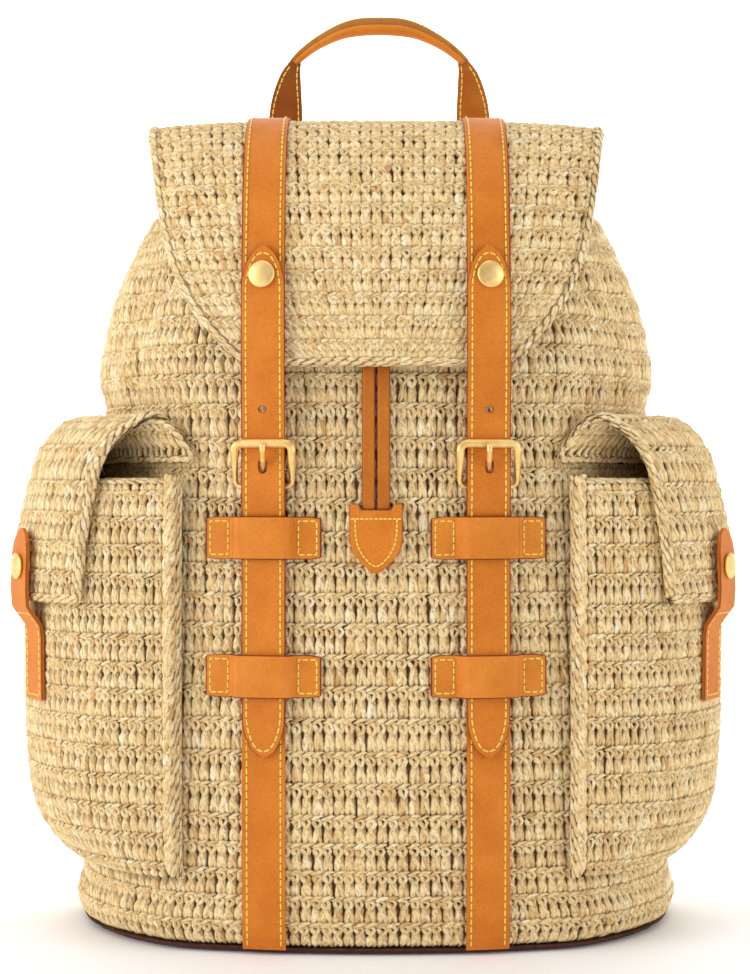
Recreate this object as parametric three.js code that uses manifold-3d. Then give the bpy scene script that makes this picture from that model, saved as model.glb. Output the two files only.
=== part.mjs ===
// Crocheted straw backpack with leather straps and brass fittings.
// Millimetres, Z up, front toward -Y. The origin is the middle of the base's underside.
import * as THREE from 'three'
import Module from 'manifold-3d'

const wasm = await Module()
wasm.setup()

// Driving dimensions.
const GAP = 0.3
const BASE_THICK = 2.5
const BODY_HEIGHT = 395
const BODY_WIDTH = 324
const BODY_DEPTH = 150
const BODY_WALL = 4.5
const FLOOR_THICK = 4.5
const GATHER_FOLDS = 12
const BODY_SIDES = 48
const GATHER_DEPTH = 4.5
const GATHER_START = 0.84
const BASE_INSET = 3
const FLAP_THICK = 4.5
const FLAP_WIDTH = 236
const FLAP_FRONT_END = 289.5
const FLAP_DROOP = 3.5
const FLAP_CREST = 0.45
const POCKET_FLOOR = 37
const POCKET_RIM = 235
const POCKET_WALL = 4.5
const POCKET_REACH_LEFT = 186
const POCKET_REACH_RIGHT = 183
const POCKET_HALF_DEPTH = 70
const POCKET_FRONT = 96
const POCKET_FLAP_END = 173
const POCKET_FLAP_FOOT = 243
const POCKET_FLAP_ARCH = 262
const POCKET_FLAP_BACK = 237
const POCKET_FLAP_SEAT = 1.2
const POCKET_TRIM = 0.07
const STRAP_OFFSET = 55
const STRAP_WIDTH = 21.5
const LEATHER = 2
const SKIVED = 1.3
const TIP_LENGTH = 20
const SKIVE_RUN = 7
const HEEL_RUN = 13
const HEEL_RETURN = 4
const STRAP_INSET = 0.006
const BELT_TOP = 347
const BELT_TIP = 98
const BELT_STUD_HEIGHT = 333
const BELT_HOLE_HEIGHT = 268
const BELT_LIFT_HOLE = 9.8
const BELT_LIFT_FLAP = 11.2
const BELT_FLAP_RUN = 14
const BELT_FLAP_LAP = 3
const BELT_HOLE = 3.4
const BASE_STRAP_END = 3.2
const BUCKLE_WIDTH = 32.5
const BUCKLE_TOP = 250.5
const BUCKLE_HEEL = 230
const BUCKLE_BAR = 4.4
const HEEL_BAR = 3
const BUCKLE_CORNER = 3.2
const PRONG = 2.8
const PRONG_WIRE = 1.1
const PRONG_TIP = 0.9
const PRONG_HOLE_HEIGHT = 240
const PRONG_HOLE_LENGTH = 6.8
const KEEPER_WIDTH = 57
const KEEPER_HEIGHT = 21
const KEEPER_THICK = 1.8
const KEEPER_UPPER = 205
const KEEPER_LOWER = 137.5
const STUD_WIDTH = 13.6
const STUD_HEIGHT = 2.6
const SNAP_WIDTH = 10.5
const SNAP_HEIGHT = 2.4
const TAB_WIDTH = 20
const TAB_BELOW_RIM = 26
const TAB_LENGTH = 87
const TAB_TIP = 13
const TAB_STUD_DROP = 19
const LACE_WIDTH = 6.4
const LACE_THICK = 2.4
const LACE_SPREAD = 3.7
const LACE_EDGE = 0.8
const LACE_LIFT = 2.6
const LOOP_HEIGHT = 392
const LOOP_CORD = 3.4
const LOOP_START = 0.035
const SHIELD_WIDTH = 26
const SHIELD_TOP = 222
const SHIELD_TIP = 187.5
const SHIELD_NOTCH = 3
const SHIELD_THICK = 4.6
const SHIELD_EDGE = 0.8
const HANDLE_SHIFT = 2
const HANDLE_WIDTH = 19.5
const HANDLE_TOP = 490.5
const HANDLE_SPAN = 92
const HANDLE_DEPTH = 73
const GRIP_HEIGHT = 9.4
const GRIP_DEPTH = 11.5
const SHOULDER_WIDTH = 34
const SHOULDER_THICK = 3
const SEAT_GAP = 0.7
const SHOULDER_BOW = 42

const BODY_FLOOR = BASE_THICK + GAP
const TAB_TOP = POCKET_RIM - TAB_BELOW_RIM
const TAB_BOTTOM = TAB_TOP - TAB_LENGTH
const TAB_STUD_HEIGHT = TAB_TOP - TAB_STUD_DROP

// Half plan of the body from the middle of the front round to the middle of the back.
const PLAN = [
  { round: 0, side: 0, depth: -1 },
  { round: 0.075, side: 0.19, depth: -0.985 },
  { round: 0.153, side: 0.383, depth: -0.933 },
  { round: 0.2535, side: 0.63, depth: -0.813 },
  { round: 0.303, side: 0.735, depth: -0.667 },
  { round: 0.36, side: 0.84, depth: -0.453 },
  { round: 0.431, side: 0.938, depth: -0.133 },
  { round: 0.528, side: 1, depth: 0.373 },
  { round: 0.582, side: 0.988, depth: 0.667 },
  { round: 0.633, side: 0.914, depth: 0.893 },
  { round: 0.693, side: 0.772, depth: 1 },
  { round: 0.848, side: 0.383, depth: 1 },
  { round: 1, side: 0, depth: 1 },
]

// The body's half width, front and back at heights from its hem to its mouth, as shares.
const BODY_ROWS = [
  { up: 0, half: 0.965, front: 0.955, back: 0.955 },
  { up: 0.012, half: 0.99, front: 0.99, back: 0.98 },
  { up: 0.03, half: 0.995, front: 1.01, back: 0.99 },
  { up: 0.062, half: 0.975, front: 1.03, back: 1.01 },
  { up: 0.15, half: 0.957, front: 1.055, back: 1.02 },
  { up: 0.3, half: 0.94, front: 1.06, back: 1.02 },
  { up: 0.45, half: 0.92, front: 1.05, back: 1.02 },
  { up: 0.6, half: 0.905, front: 1.03, back: 1.02 },
  { up: 0.672, half: 0.901, front: 1.01, back: 1.02 },
  { up: 0.725, half: 0.925, front: 1, back: 1.02 },
  { up: 0.773, half: 0.908, front: 0.985, back: 1.02 },
  { up: 0.826, half: 0.877, front: 0.955, back: 1.02 },
  { up: 0.887, half: 0.815, front: 0.875, back: 1.02 },
  { up: 0.932, half: 0.76, front: 0.77, back: 1.02 },
  { up: 0.953, half: 0.72, front: 0.7, back: 1.015 },
  { up: 0.976, half: 0.645, front: 0.57, back: 0.97 },
  { up: 1, half: 0.55, front: 0.42, back: 0.87 },
]

// The heights at which the body's outer and inner skins have their rings of corners.
const BODY_LEVELS = [
  0, 0.02, 0.09, 0.2, 0.35, 0.5, 0.6, 0.68, 0.73, 0.775, 0.82, 0.86, 0.895, 0.93, 0.957, 0.98, 1,
]
const BODY_INNER_LEVELS = [0.98, 0.93, 0.86, 0.775, 0.68, 0.35, 0.09]

// Soft diagonal folds of the shoulders: where, how far each leans, its breadth and its depth.
const CREASES = [
  { round: 0.31, up: 0.86, lean: -0.55, breadth: 0.022, reach: 0.1, depth: 5 },
  { round: 0.4, up: 0.79, lean: -0.45, breadth: 0.026, reach: 0.09, depth: 4.5 },
  { round: 0.36, up: 0.71, lean: -0.3, breadth: 0.02, reach: 0.06, depth: 3.5 },
]

// The flap's outer face from its front end over the ridge to its back end.
const FLAP_PATH = [
  { along: 0, out: -84.3, up: 289.5, half: 0.53, bow: 1 },
  { along: 0.035, out: -84.6, up: 297, half: 0.615, bow: 1 },
  { along: 0.075, out: -84.8, up: 306, half: 0.69, bow: 1 },
  { along: 0.13, out: -84.8, up: 319, half: 0.775, bow: 1 },
  { along: 0.2, out: -84, up: 335, half: 0.845, bow: 1 },
  { along: 0.28, out: -81.8, up: 352, half: 0.892, bow: 0.97 },
  { along: 0.36, out: -77.2, up: 370.5, half: 0.925, bow: 0.9 },
  { along: 0.44, out: -68, up: 390.5, half: 0.952, bow: 0.75 },
  { along: 0.52, out: -53, up: 406.5, half: 0.975, bow: 0.55 },
  { along: 0.6, out: -33, up: 416.3, half: 0.99, bow: 0.3 },
  { along: 0.68, out: -9, up: 421, half: 1, bow: 0.1 },
  { along: 0.76, out: 16, up: 422, half: 1, bow: 0 },
  { along: 0.84, out: 42, up: 418.5, half: 0.99, bow: 0 },
  { along: 0.9, out: 63, up: 411, half: 0.975, bow: 0 },
  { along: 0.945, out: 77, up: 401, half: 0.96, bow: 0 },
  { along: 0.97, out: 83, up: 387.5, half: 0.95, bow: 0 },
  { along: 1, out: 83.6, up: 371, half: 0.94, bow: 0 },
]

// A pocket's outer plan from its front seam to its back seam; foot is the share of its body side.
const POCKET_PLAN = [
  { along: 0, side: 0.519, depth: -0.99, foot: 0, firm: 1 },
  { along: 0.05, side: 0.545, depth: -1.03, foot: 0.02, firm: 1 },
  { along: 0.14, side: 0.645, depth: -1.015, foot: 0.14, firm: 0.8 },
  { along: 0.25, side: 0.78, depth: -0.88, foot: 0.26, firm: 0.4 },
  { along: 0.36, side: 0.892, depth: -0.63, foot: 0.37, firm: 0.1 },
  { along: 0.47, side: 0.968, depth: -0.29, foot: 0.48, firm: 0 },
  { along: 0.6, side: 1, depth: 0.115, foot: 0.62, firm: 0 },
  { along: 0.74, side: 0.989, depth: 0.51, foot: 0.78, firm: 0.1 },
  { along: 0.85, side: 0.955, depth: 0.78, foot: 0.9, firm: 0.4 },
  { along: 0.95, side: 0.89, depth: 0.945, foot: 0.98, firm: 0.8 },
  { along: 1, side: 0.84, depth: 0.985, foot: 1, firm: 1 },
]
const POCKET_BODY_START = 0.243
const POCKET_BODY_END = 0.622

// How far a pocket's wall stands from the body, from its floor to its rim.
const POCKET_ROWS = [
  { up: 0, swell: 0.14 },
  { up: 0.02, swell: 0.34 },
  { up: 0.068, swell: 0.61 },
  { up: 0.15, swell: 0.86 },
  { up: 0.3, swell: 0.97 },
  { up: 0.5, swell: 1 },
  { up: 0.75, swell: 1 },
  { up: 0.88, swell: 0.95 },
  { up: 1, swell: 0.8 },
]

// The arch of a pocket's flap between the body and the pocket's rim.
const ARCH_ROWS = [
  { across: 0.1, rise: 0.55 },
  { across: 0.28, rise: 0.97 },
  { across: 0.48, rise: 1 },
  { across: 0.68, rise: 0.74 },
  { across: 0.86, rise: 0.32 },
  { across: 0.97, rise: -0.15 },
]
const POCKET_FLAP_PLAN = { start: 0.225, slant: 0.025, end: 0.9, inset: 0.004, sink: 0.45 }
const TAB_ALONG = 0.405

// The turn of the prong's loop round the heel bar, and its way up through the belt from that bar.
const PRONG_LOOP = { from: -2.6, to: 1.6, steps: 8 }
const PRONG_ROWS = [
  { out: 1, up: 4.8 },
  { out: 2.3, up: 7.4 },
  { out: 4.4, up: 10 },
  { out: 7.4, up: 12.6 },
]

// The belt strap's tips: the shares of their length at which the strap has its rows.
const TIP_SHARES = [0, 0.2, 0.45, 0.8]

// The base strap's rows, as shares of its way up to the buckle.
const BASE_STRAP_SHARES = [0, 0.03, 0.08, 0.2, 0.36, 0.52, 0.69, 0.85, 0.94, 1]

// Half of a keeper across, and the share of its rise over the belt.
const KEEPER_ROWS = [
  { across: -1, rise: 0 },
  { across: -0.8, rise: 0 },
  { across: -0.57, rise: 0 },
  { across: -0.49, rise: 0.21 },
  { across: -0.425, rise: 0.87 },
  { across: -0.38, rise: 1 },
  { across: -0.2, rise: 1.04 },
  { across: 0, rise: 1.05 },
]

// A pocket's tab: shares of its length up from its foot, and of its rise onto the snap.
const TAB_ROWS = [
  { share: 0, rise: 0 },
  { share: 0.23, rise: 0 },
  { share: 0.37, rise: 0 },
  { share: 0.44, rise: 0.095 },
  { share: 0.495, rise: 0.5 },
  { share: 0.55, rise: 0.93 },
  { share: 0.645, rise: 1 },
  { share: 0.78, rise: 1 },
  { share: 0.85, rise: 1 },
  { share: 0.92, rise: 1 },
  { share: 0.965, rise: 1 },
  { share: 1, rise: 1 },
]

// The laces' points: heights up the bag's front and lifts off it.
const LACE_ROWS = [
  { up: 378, lift: 2.4 },
  { up: 360, lift: 2.1 },
  { up: 330, lift: 2 },
  { up: 300, lift: 2 },
  { up: 275, lift: 2.6 },
  { up: 250, lift: 2.6 },
]

// A stud's profile from the middle of its foot up to the middle of its dome, as shares.
const STUD_ROWS = [
  { across: 0, up: 0 },
  { across: 0.93, up: 0 },
  { across: 1, up: 0.3 },
  { across: 0.95, up: 0.62 },
  { across: 0.84, up: 0.66 },
  { across: 0.45, up: 0.93 },
  { across: 0, up: 1 },
]

// The grip's section, in shares of its depth and height: a roll below and a stitched ridge above.
const GRIP_SECTION = [
  { out: -0.5, rise: -0.18 },
  { out: -0.36, rise: -0.4 },
  { out: 0, rise: -0.5 },
  { out: 0.36, rise: -0.4 },
  { out: 0.5, rise: -0.18 },
  { out: 0.46, rise: 0.06 },
  { out: 0.3, rise: 0.22 },
  { out: 0.24, rise: 0.46 },
  { out: 0, rise: 0.5 },
  { out: -0.24, rise: 0.46 },
  { out: -0.3, rise: 0.22 },
  { out: -0.46, rise: 0.06 },
]

// A handle leg from the back of the bag to the grip, as places beside and above its middle.
const LEG_ROWS = [
  { out: -53.6, back: 86.3, up: 378, half: 1, thick: 2 },
  { out: -53.6, back: 86.3, up: 400, half: 1, thick: 2 },
  { out: -53.6, back: 85, up: 420, half: 1, thick: 2 },
  { out: -53.6, back: 80.5, up: 437, half: 1, thick: 2 },
  { out: -52.9, back: 77.5, up: 447.5, half: 0.92, thick: 2.1 },
  { out: -51.8, back: 75.4, up: 456, half: 0.76, thick: 2.4 },
  { out: -50.2, back: 73.2, up: 463.5, half: 0.58, thick: 2.9 },
  { out: -48.9, back: 72, up: 467.2, half: 0.4, thick: 3.6 },
  { out: -47, back: 71.1, up: 470.7, half: 0.29, thick: 4.2 },
]

// The grip's middle line and girth from its apex to one end.
const GRIP_ROWS = [
  { across: 0, drop: 0, girth: 1 },
  { across: 0.26, drop: 0.6, girth: 1 },
  { across: 0.48, drop: 3.1, girth: 0.87 },
  { across: 0.71, drop: 8.2, girth: 0.72 },
  { across: 0.84, drop: 12, girth: 0.65 },
  { across: 1, drop: 18, girth: 0.58 },
]

// A shoulder strap from its upper sewn end to its lower one.
const SHOULDER_ROWS = [
  { out: 34, bow: 0, up: 364 },
  { out: 35, bow: 0, up: 344 },
  { out: 38, bow: 0.22, up: 330 },
  { out: 46, bow: 0.62, up: 305 },
  { out: 58, bow: 0.92, up: 262 },
  { out: 72, bow: 1, up: 205 },
  { out: 87, bow: 0.9, up: 150 },
  { out: 101, bow: 0.6, up: 100 },
  { out: 110, bow: 0.2, up: 64 },
  { out: 113, bow: 0, up: 48 },
  { out: 115, bow: 0, up: 26 },
]

const straw = { color: 0xe6d2a8, roughness: 0.85, metalness: 0 }
const tan = { color: 0xd2842f, roughness: 0.5, metalness: 0 }
const dark = { color: 0x5a0e16, roughness: 0.5, metalness: 0 }
const brass = { color: 0xe0b35a, roughness: 0.25, metalness: 1 }

const bag = new THREE.Group()

const mix = (from, to, share) => from + (to - from) * share

function ease(value) {
  const held = Math.min(1, Math.max(0, value))
  return held * held * (3 - 2 * held)
}

// A column of a table between its rows, as a smooth curve over the table's first column.
function between(table, column, at) {
  const place = Object.keys(table[0])[0]
  const last = table.length - 1
  if (at <= table[0][place]) return table[0][column]
  if (at >= table[last][place]) return table[last][column]
  let row = 0
  while (at > table[row + 1][place]) row += 1
  const slope = (index) => {
    const before = table[Math.max(0, index - 1)]
    const after = table[Math.min(last, index + 1)]
    return (after[column] - before[column]) / (after[place] - before[place])
  }
  const span = table[row + 1][place] - table[row][place]
  const t = (at - table[row][place]) / span
  const rise = t * t * (3 - 2 * t)
  const enter = t * (1 - t) * (1 - t) * span * slope(row)
  const leave = t * t * (t - 1) * span * slope(row + 1)
  return mix(table[row][column], table[row + 1][column], rise) + enter + leave
}

// Points along a hand-placed route, evenly spread.
function spread(points, count) {
  const curve = new THREE.CatmullRomCurve3(points, false, 'centripetal')
  return curve.getSpacedPoints(count)
}

function point(x, y, z) {
  return new THREE.Vector3(x, y, z)
}

// A closed mesh from corners and faces, with its faces pointing out.
function closedMesh(name, corners, faces, finish) {
  let volume = 0
  for (const [a, b, c] of faces) {
    volume += corners[a].dot(corners[b].clone().cross(corners[c]))
  }
  const geometry = new THREE.BufferGeometry()
  const positions = corners.flatMap((corner) => [corner.x, corner.y, corner.z])
  geometry.setAttribute('position', new THREE.Float32BufferAttribute(positions, 3))
  geometry.setIndex(faces.flatMap(([a, b, c]) => (volume < 0 ? [a, c, b] : [a, b, c])))
  return named(name, geometry, finish)
}

function named(name, geometry, finish) {
  geometry.computeVertexNormals()
  const mesh = new THREE.Mesh(geometry, new THREE.MeshStandardMaterial(finish))
  mesh.name = name
  return mesh
}

// A solid skinned over rings of equal count; flat ends are filled in plan, round ones as fans.
function ringSolid(name, rings, finish, ends = 'fan') {
  const corners = rings.flat()
  const faces = []
  const count = rings[0].length
  const spans = ends === 'joined' ? rings.length : rings.length - 1
  for (let i = 0; i < spans; i += 1) {
    const lower = i * count
    const upper = ((i + 1) % rings.length) * count
    for (let j = 0; j < count; j += 1) {
      const next = (j + 1) % count
      faces.push([lower + j, lower + next, upper + next], [lower + j, upper + next, upper + j])
    }
  }
  if (ends === 'joined') return closedMesh(name, corners, faces, finish)
  for (const [ring, start, turn] of [[rings[0], 0, true], [rings.at(-1), (rings.length - 1) * count, false]]) {
    if (ends === 'plan') {
      const flat = ring.map((corner) => new THREE.Vector2(corner.x, corner.y))
      const counterClockwise = THREE.ShapeUtils.area(flat) > 0
      for (const [a, b, c] of THREE.ShapeUtils.triangulateShape(flat, [])) {
        const kept = counterClockwise === isCounterClockwise(flat[a], flat[b], flat[c])
        const face = kept === turn ? [start + a, start + c, start + b] : [start + a, start + b, start + c]
        faces.push(face)
      }
    } else {
      const middle = ring.reduce((sum, corner) => sum.add(corner), point(0, 0, 0)).divideScalar(count)
      const hub = corners.push(middle) - 1
      for (let j = 0; j < count; j += 1) {
        const next = (j + 1) % count
        faces.push(turn ? [hub, start + next, start + j] : [hub, start + j, start + next])
      }
    }
  }
  return closedMesh(name, corners, faces, finish)
}

function isCounterClockwise(a, b, c) {
  return (b.x - a.x) * (c.y - a.y) - (b.y - a.y) * (c.x - a.x) > 0
}

// A sheet between two grids of points, closed along all four sides.
function bandSolid(name, over, under, finish) {
  const rings = over.map((row, i) => [...row, ...under[i].slice().reverse()])
  const corners = rings.flat()
  const count = rings[0].length
  const faces = []
  for (let i = 0; i < rings.length - 1; i += 1) {
    for (let j = 0; j < count; j += 1) {
      const here = i * count
      const above = here + count
      const next = (j + 1) % count
      faces.push([here + j, here + next, above + next], [here + j, above + next, above + j])
    }
  }
  for (const [start, turn] of [[0, true], [(rings.length - 1) * count, false]]) {
    for (let j = 0; j < count / 2 - 1; j += 1) {
      const a = start + j
      const b = start + j + 1
      const c = start + count - 2 - j
      const d = start + count - 1 - j
      if (turn) faces.push([a, c, b], [a, d, c])
      else faces.push([a, b, c], [a, c, d])
    }
  }
  return closedMesh(name, corners, faces, finish)
}

// The faces' normals of a grid of points, by differences.
function gridNormals(grid) {
  return grid.map((row, i) => row.map((corner, j) => {
    const along = grid[Math.min(i + 1, grid.length - 1)][j].clone().sub(grid[Math.max(i - 1, 0)][j])
    const across = row[Math.min(j + 1, row.length - 1)].clone().sub(row[Math.max(j - 1, 0)])
    return across.cross(along).normalize()
  }))
}

function raised(grid, normals, height) {
  return grid.map((row, i) => row.map((corner, j) => corner.clone().addScaledVector(normals[i][j], height)))
}

// A cut solid: the body less the tool.
function cut(mesh, tool) {
  const solids = [mesh, tool].map((item) => {
    const positions = item.geometry.getAttribute('position')
    return new wasm.Manifold(new wasm.Mesh({
      numProp: 3,
      vertProperties: new Float32Array(positions.array),
      triVerts: new Uint32Array(item.geometry.getIndex().array),
    }))
  })
  const result = solids[0].subtract(solids[1]).getMesh()
  const geometry = new THREE.BufferGeometry()
  geometry.setAttribute('position', new THREE.BufferAttribute(result.vertProperties, result.numProp))
  geometry.setIndex(new THREE.BufferAttribute(result.triVerts, 1))
  geometry.computeVertexNormals()
  mesh.geometry = geometry
  return mesh
}

// The body's outer face without its gathers, at a share of the way round and a height.
function bodyPoint(round, z) {
  const up = (z - BODY_FLOOR) / BODY_HEIGHT
  const half = BODY_WIDTH / 2 * between(BODY_ROWS, 'half', up)
  const front = BODY_DEPTH / 2 * between(BODY_ROWS, 'front', up)
  const back = BODY_DEPTH / 2 * between(BODY_ROWS, 'back', up)
  const side = between(PLAN, 'side', Math.abs(round))
  const depth = between(PLAN, 'depth', Math.abs(round))
  return point(Math.sign(round) * side * half, (back - front) / 2 + depth * (front + back) / 2, z)
}

function bodyNormal(round, z) {
  const step = 0.004
  const lift = 0.5
  const across = bodyPoint(round + step, z).sub(bodyPoint(round - step, z))
  const along = bodyPoint(round, z + lift).sub(bodyPoint(round, z - lift))
  return across.cross(along).normalize()
}

function onBody(round, z, height) {
  const reach = Math.min(0.99, Math.max(-0.99, round))
  const held = Math.abs(reach) < 0.005 ? 0.005 : reach
  const top = BODY_FLOOR + BODY_HEIGHT
  const normal = bodyNormal(held, Math.min(top - 1, Math.max(BODY_FLOOR + 1, z)))
  return bodyPoint(round, z).addScaledVector(normal, height)
}

// The share of the way round at which the front or the back of the body is at a given x.
function roundAt(x, z, back = false) {
  let low = back ? 0.55 : 0
  let high = back ? 1 : 0.52
  for (let i = 0; i < 30; i += 1) {
    const middle = (low + high) / 2
    const further = bodyPoint(middle, z).x > Math.abs(x)
    if (further === back) low = middle
    else high = middle
  }
  return (x < 0 ? -1 : 1) * (low + high) / 2
}

function onFront(x, z, height) {
  return onBody(roundAt(x, z), z, height)
}

function onBack(x, z, height) {
  return onBody(roundAt(x, z, true), z, height)
}

// How far the front has drawn back at a given x from where it is at the middle.
function frontBow(x, z) {
  const held = Math.min(z, FLAP_FRONT_END)
  return bodyPoint(roundAt(x, held), held).y - bodyPoint(0, held).y
}

// The body's wall with its shoulder folds and the gathers at its mouth.
function wovenBody(round, z, inset) {
  const up = (z - BODY_FLOOR) / BODY_HEIGHT
  let height = -inset
  const gather = GATHER_DEPTH * ease((up - GATHER_START) / (1 - GATHER_START))
  height += gather * (Math.cos(Math.PI * GATHER_FOLDS * round) - 1)
  for (const crease of CREASES) {
    const along = up - crease.up
    const off = Math.abs(round) - crease.round - crease.lean * along
    const shape = Math.exp(-((off / crease.breadth) ** 2) - (along / crease.reach) ** 2)
    height -= crease.depth * shape
  }
  return onBody(round, z, height)
}

function bodyRing(z, inset, count) {
  const ring = []
  for (let i = 0; i < count; i += 1) {
    const round = 2 * i / count
    ring.push(wovenBody(round > 1 ? round - 2 : round, z, inset))
  }
  return ring
}

function bodyShell() {
  const rings = BODY_LEVELS.map((up) => bodyRing(BODY_FLOOR + up * BODY_HEIGHT, 0, BODY_SIDES))
  for (const up of BODY_INNER_LEVELS) {
    rings.push(bodyRing(BODY_FLOOR + up * BODY_HEIGHT, BODY_WALL, BODY_SIDES))
  }
  const floor = bodyRing(BODY_FLOOR + FLOOR_THICK, BODY_WALL, BODY_SIDES)
  rings.push(floor.map((corner) => point(corner.x, corner.y, BODY_FLOOR + FLOOR_THICK)))
  return ringSolid('body_shell', rings, straw, 'plan')
}

function basePanel() {
  const outline = bodyRing(BODY_FLOOR, BASE_INSET, BODY_SIDES)
  const rings = [0, BASE_THICK].map((z) => outline.map((corner) => point(corner.x, corner.y, z)))
  return ringSolid('base_panel', rings, dark, 'plan')
}

// The flap's outer face at a share of its length and a share of its half width.
function flapPoint(along, across, height = 0) {
  const place = (column, at) => between(FLAP_PATH, column, at)
  const x = across * FLAP_WIDTH / 2 * place('half', along)
  const bow = frontBow(x, FLAP_FRONT_END) * place('bow', along)
  const droop = FLAP_DROOP * across ** 4 * ease((along - FLAP_CREST) / 0.2)
  const step = 0.004
  const low = Math.max(0, along - step)
  const high = Math.min(1, along + step)
  const run = point(0, place('out', high) - place('out', low), place('up', high) - place('up', low))
  const out = point(0, -run.z, run.y).normalize()
  return point(x, place('out', along) + bow, place('up', along) - droop).addScaledVector(out, height)
}

// The shares of the flap's length at which it and the straps on it have their rows of corners.
const FLAP_STATIONS = FLAP_PATH.flatMap(({ along }, row) => {
  const turned = row > 5 && row < FLAP_PATH.length - 1
  return turned ? [along, (along + FLAP_PATH[row + 1].along) / 2] : [along]
})

function flap() {
  const widthCount = 12
  const grid = (height) => FLAP_STATIONS.map((along) => {
    const row = []
    for (let j = 0; j <= widthCount; j += 1) row.push(flapPoint(along, 2 * j / widthCount - 1, height))
    return row
  })
  return bandSolid('flap', grid(0), grid(-FLAP_THICK), straw)
}

// A strap along places { y, z } at one x, with its underside on them. Width and thickness can vary.
function strap(name, middle, places, finish, options = {}) {
  const halfAt = options.halfAt ?? (() => STRAP_WIDTH / 2)
  const thickAt = options.thickAt ?? (() => LEATHER)
  const steps = 2
  const over = []
  const under = []
  places.forEach((place, i) => {
    const before = places[Math.max(0, i - 1)]
    const after = places[Math.min(places.length - 1, i + 1)]
    const out = point(0, -(after.z - before.z), after.y - before.y).normalize()
    const half = halfAt(place, i)
    const top = []
    const bottom = []
    for (let j = 0; j <= steps; j += 1) {
      const x = middle + half * (2 * j / steps - 1)
      const bow = (frontBow(x, place.z) - frontBow(middle, place.z)) * (place.bow ?? 1)
      const base = point(x, place.y + bow, place.z)
      bottom.push(base)
      top.push(base.clone().addScaledVector(out, thickAt(place, i)))
    }
    over.push(top)
    under.push(bottom)
  })
  return bandSolid(name, over, under, finish)
}

// Half width of a strap that narrows to a soft point at one end.
function pointed(distance) {
  const share = Math.min(1, Math.max(0, distance / TIP_LENGTH))
  return STRAP_WIDTH / 2 * Math.max(0.12, Math.sqrt(1 - (1 - share) ** 1.8))
}

function onFlap(middle, along, height) {
  const across = middle / (FLAP_WIDTH / 2 * between(FLAP_PATH, 'half', along))
  const place = flapPoint(along, across, height)
  return { y: place.y, z: place.z, bow: between(FLAP_PATH, 'bow', along) }
}

function flapStrap(name, middle) {
  const stations = [STRAP_INSET, ...FLAP_STATIONS.slice(1, -1), 1 - STRAP_INSET]
  return strap(name, middle, stations.map((along) => onFlap(middle, along, GAP)), tan)
}

// Height of a layer over the body's front at the strap's middle line.
function overBody(middle, z, height) {
  const place = onFront(middle, z, height)
  return { y: place.y, z: place.z }
}

const HEEL_LIFT = GAP + SKIVED + GAP + HEEL_BAR / 2
const BELT_LIFT_BUCKLE = HEEL_LIFT + HEEL_BAR / 2 + GAP + SKIVED + GAP
const BELT_LIFT_KEEPER = GAP + LEATHER + 2 * GAP
const TOP_BAR_LIFT = BELT_LIFT_BUCKLE + LEATHER + GAP + BUCKLE_BAR / 2

// The belt strap's underside from its lower tip up to its upper point.
function beltPlaces(middle) {
  const flat = [
    ...TIP_SHARES.map((share) => BELT_TIP + share * TIP_LENGTH),
    KEEPER_LOWER, (KEEPER_LOWER + KEEPER_UPPER) / 2, KEEPER_UPPER, KEEPER_UPPER + KEEPER_HEIGHT / 2,
  ]
  const raisedPart = [BUCKLE_HEEL - BUCKLE_CORNER, BUCKLE_HEEL, PRONG_HOLE_HEIGHT, BUCKLE_TOP]
  const start = FLAP_FRONT_END + BELT_FLAP_LAP
  const tip = BELT_TOP - TIP_LENGTH
  const free = [start, mix(start, tip, 0.25), mix(start, tip, 0.6), tip]
  const point = TIP_SHARES.slice().reverse().map((share) => BELT_TOP - share * TIP_LENGTH)
  return [
    ...flat.map((z) => overBody(middle, z, BELT_LIFT_KEEPER)),
    ...raisedPart.map((z) => overBody(middle, z, BELT_LIFT_BUCKLE)),
    overBody(middle, BELT_HOLE_HEIGHT, BELT_LIFT_HOLE),
    overBody(middle, FLAP_FRONT_END - BELT_FLAP_RUN, BELT_LIFT_FLAP),
    ...[...free, ...point].map((z) => onFlap(middle, alongFlapAt(z), BELT_LIFT_KEEPER)),
  ]
}

// The share of the flap's length at which its front is at a given height.
function alongFlapAt(z) {
  let low = 0
  let high = 0.6
  for (let i = 0; i < 30; i += 1) {
    const middle = (low + high) / 2
    if (between(FLAP_PATH, 'up', middle) < z) low = middle
    else high = middle
  }
  return (low + high) / 2
}

// The place and the directions across, up and out of a strap's face at a height on its route.
function seatOn(middle, places, z, height) {
  let row = 0
  while (row < places.length - 2 && places[row + 1].z < z) row += 1
  const share = (z - places[row].z) / (places[row + 1].z - places[row].z)
  const y = mix(places[row].y, places[row + 1].y, share)
  const slope = (frontBow(middle + 2, z) - frontBow(middle - 2, z)) / 4
  const across = point(1, slope, 0).normalize()
  const run = point(0, places[row + 1].y - places[row].y, places[row + 1].z - places[row].z).normalize()
  const out = across.clone().cross(run).normalize()
  const up = out.clone().cross(across)
  const origin = point(middle, y, z).addScaledVector(out, height)
  return new THREE.Matrix4().makeBasis(across, up, out).setPosition(origin)
}

function placed(mesh, matrix) {
  mesh.applyMatrix4(matrix)
  return mesh
}

// A round punch whose axis is the seat's outward direction.
function punch(seat, diameter, length) {
  const geometry = new THREE.CylinderGeometry(diameter / 2, diameter / 2, length, 16)
  geometry.rotateX(Math.PI / 2)
  return welded(geometry.applyMatrix4(seat))
}

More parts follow.
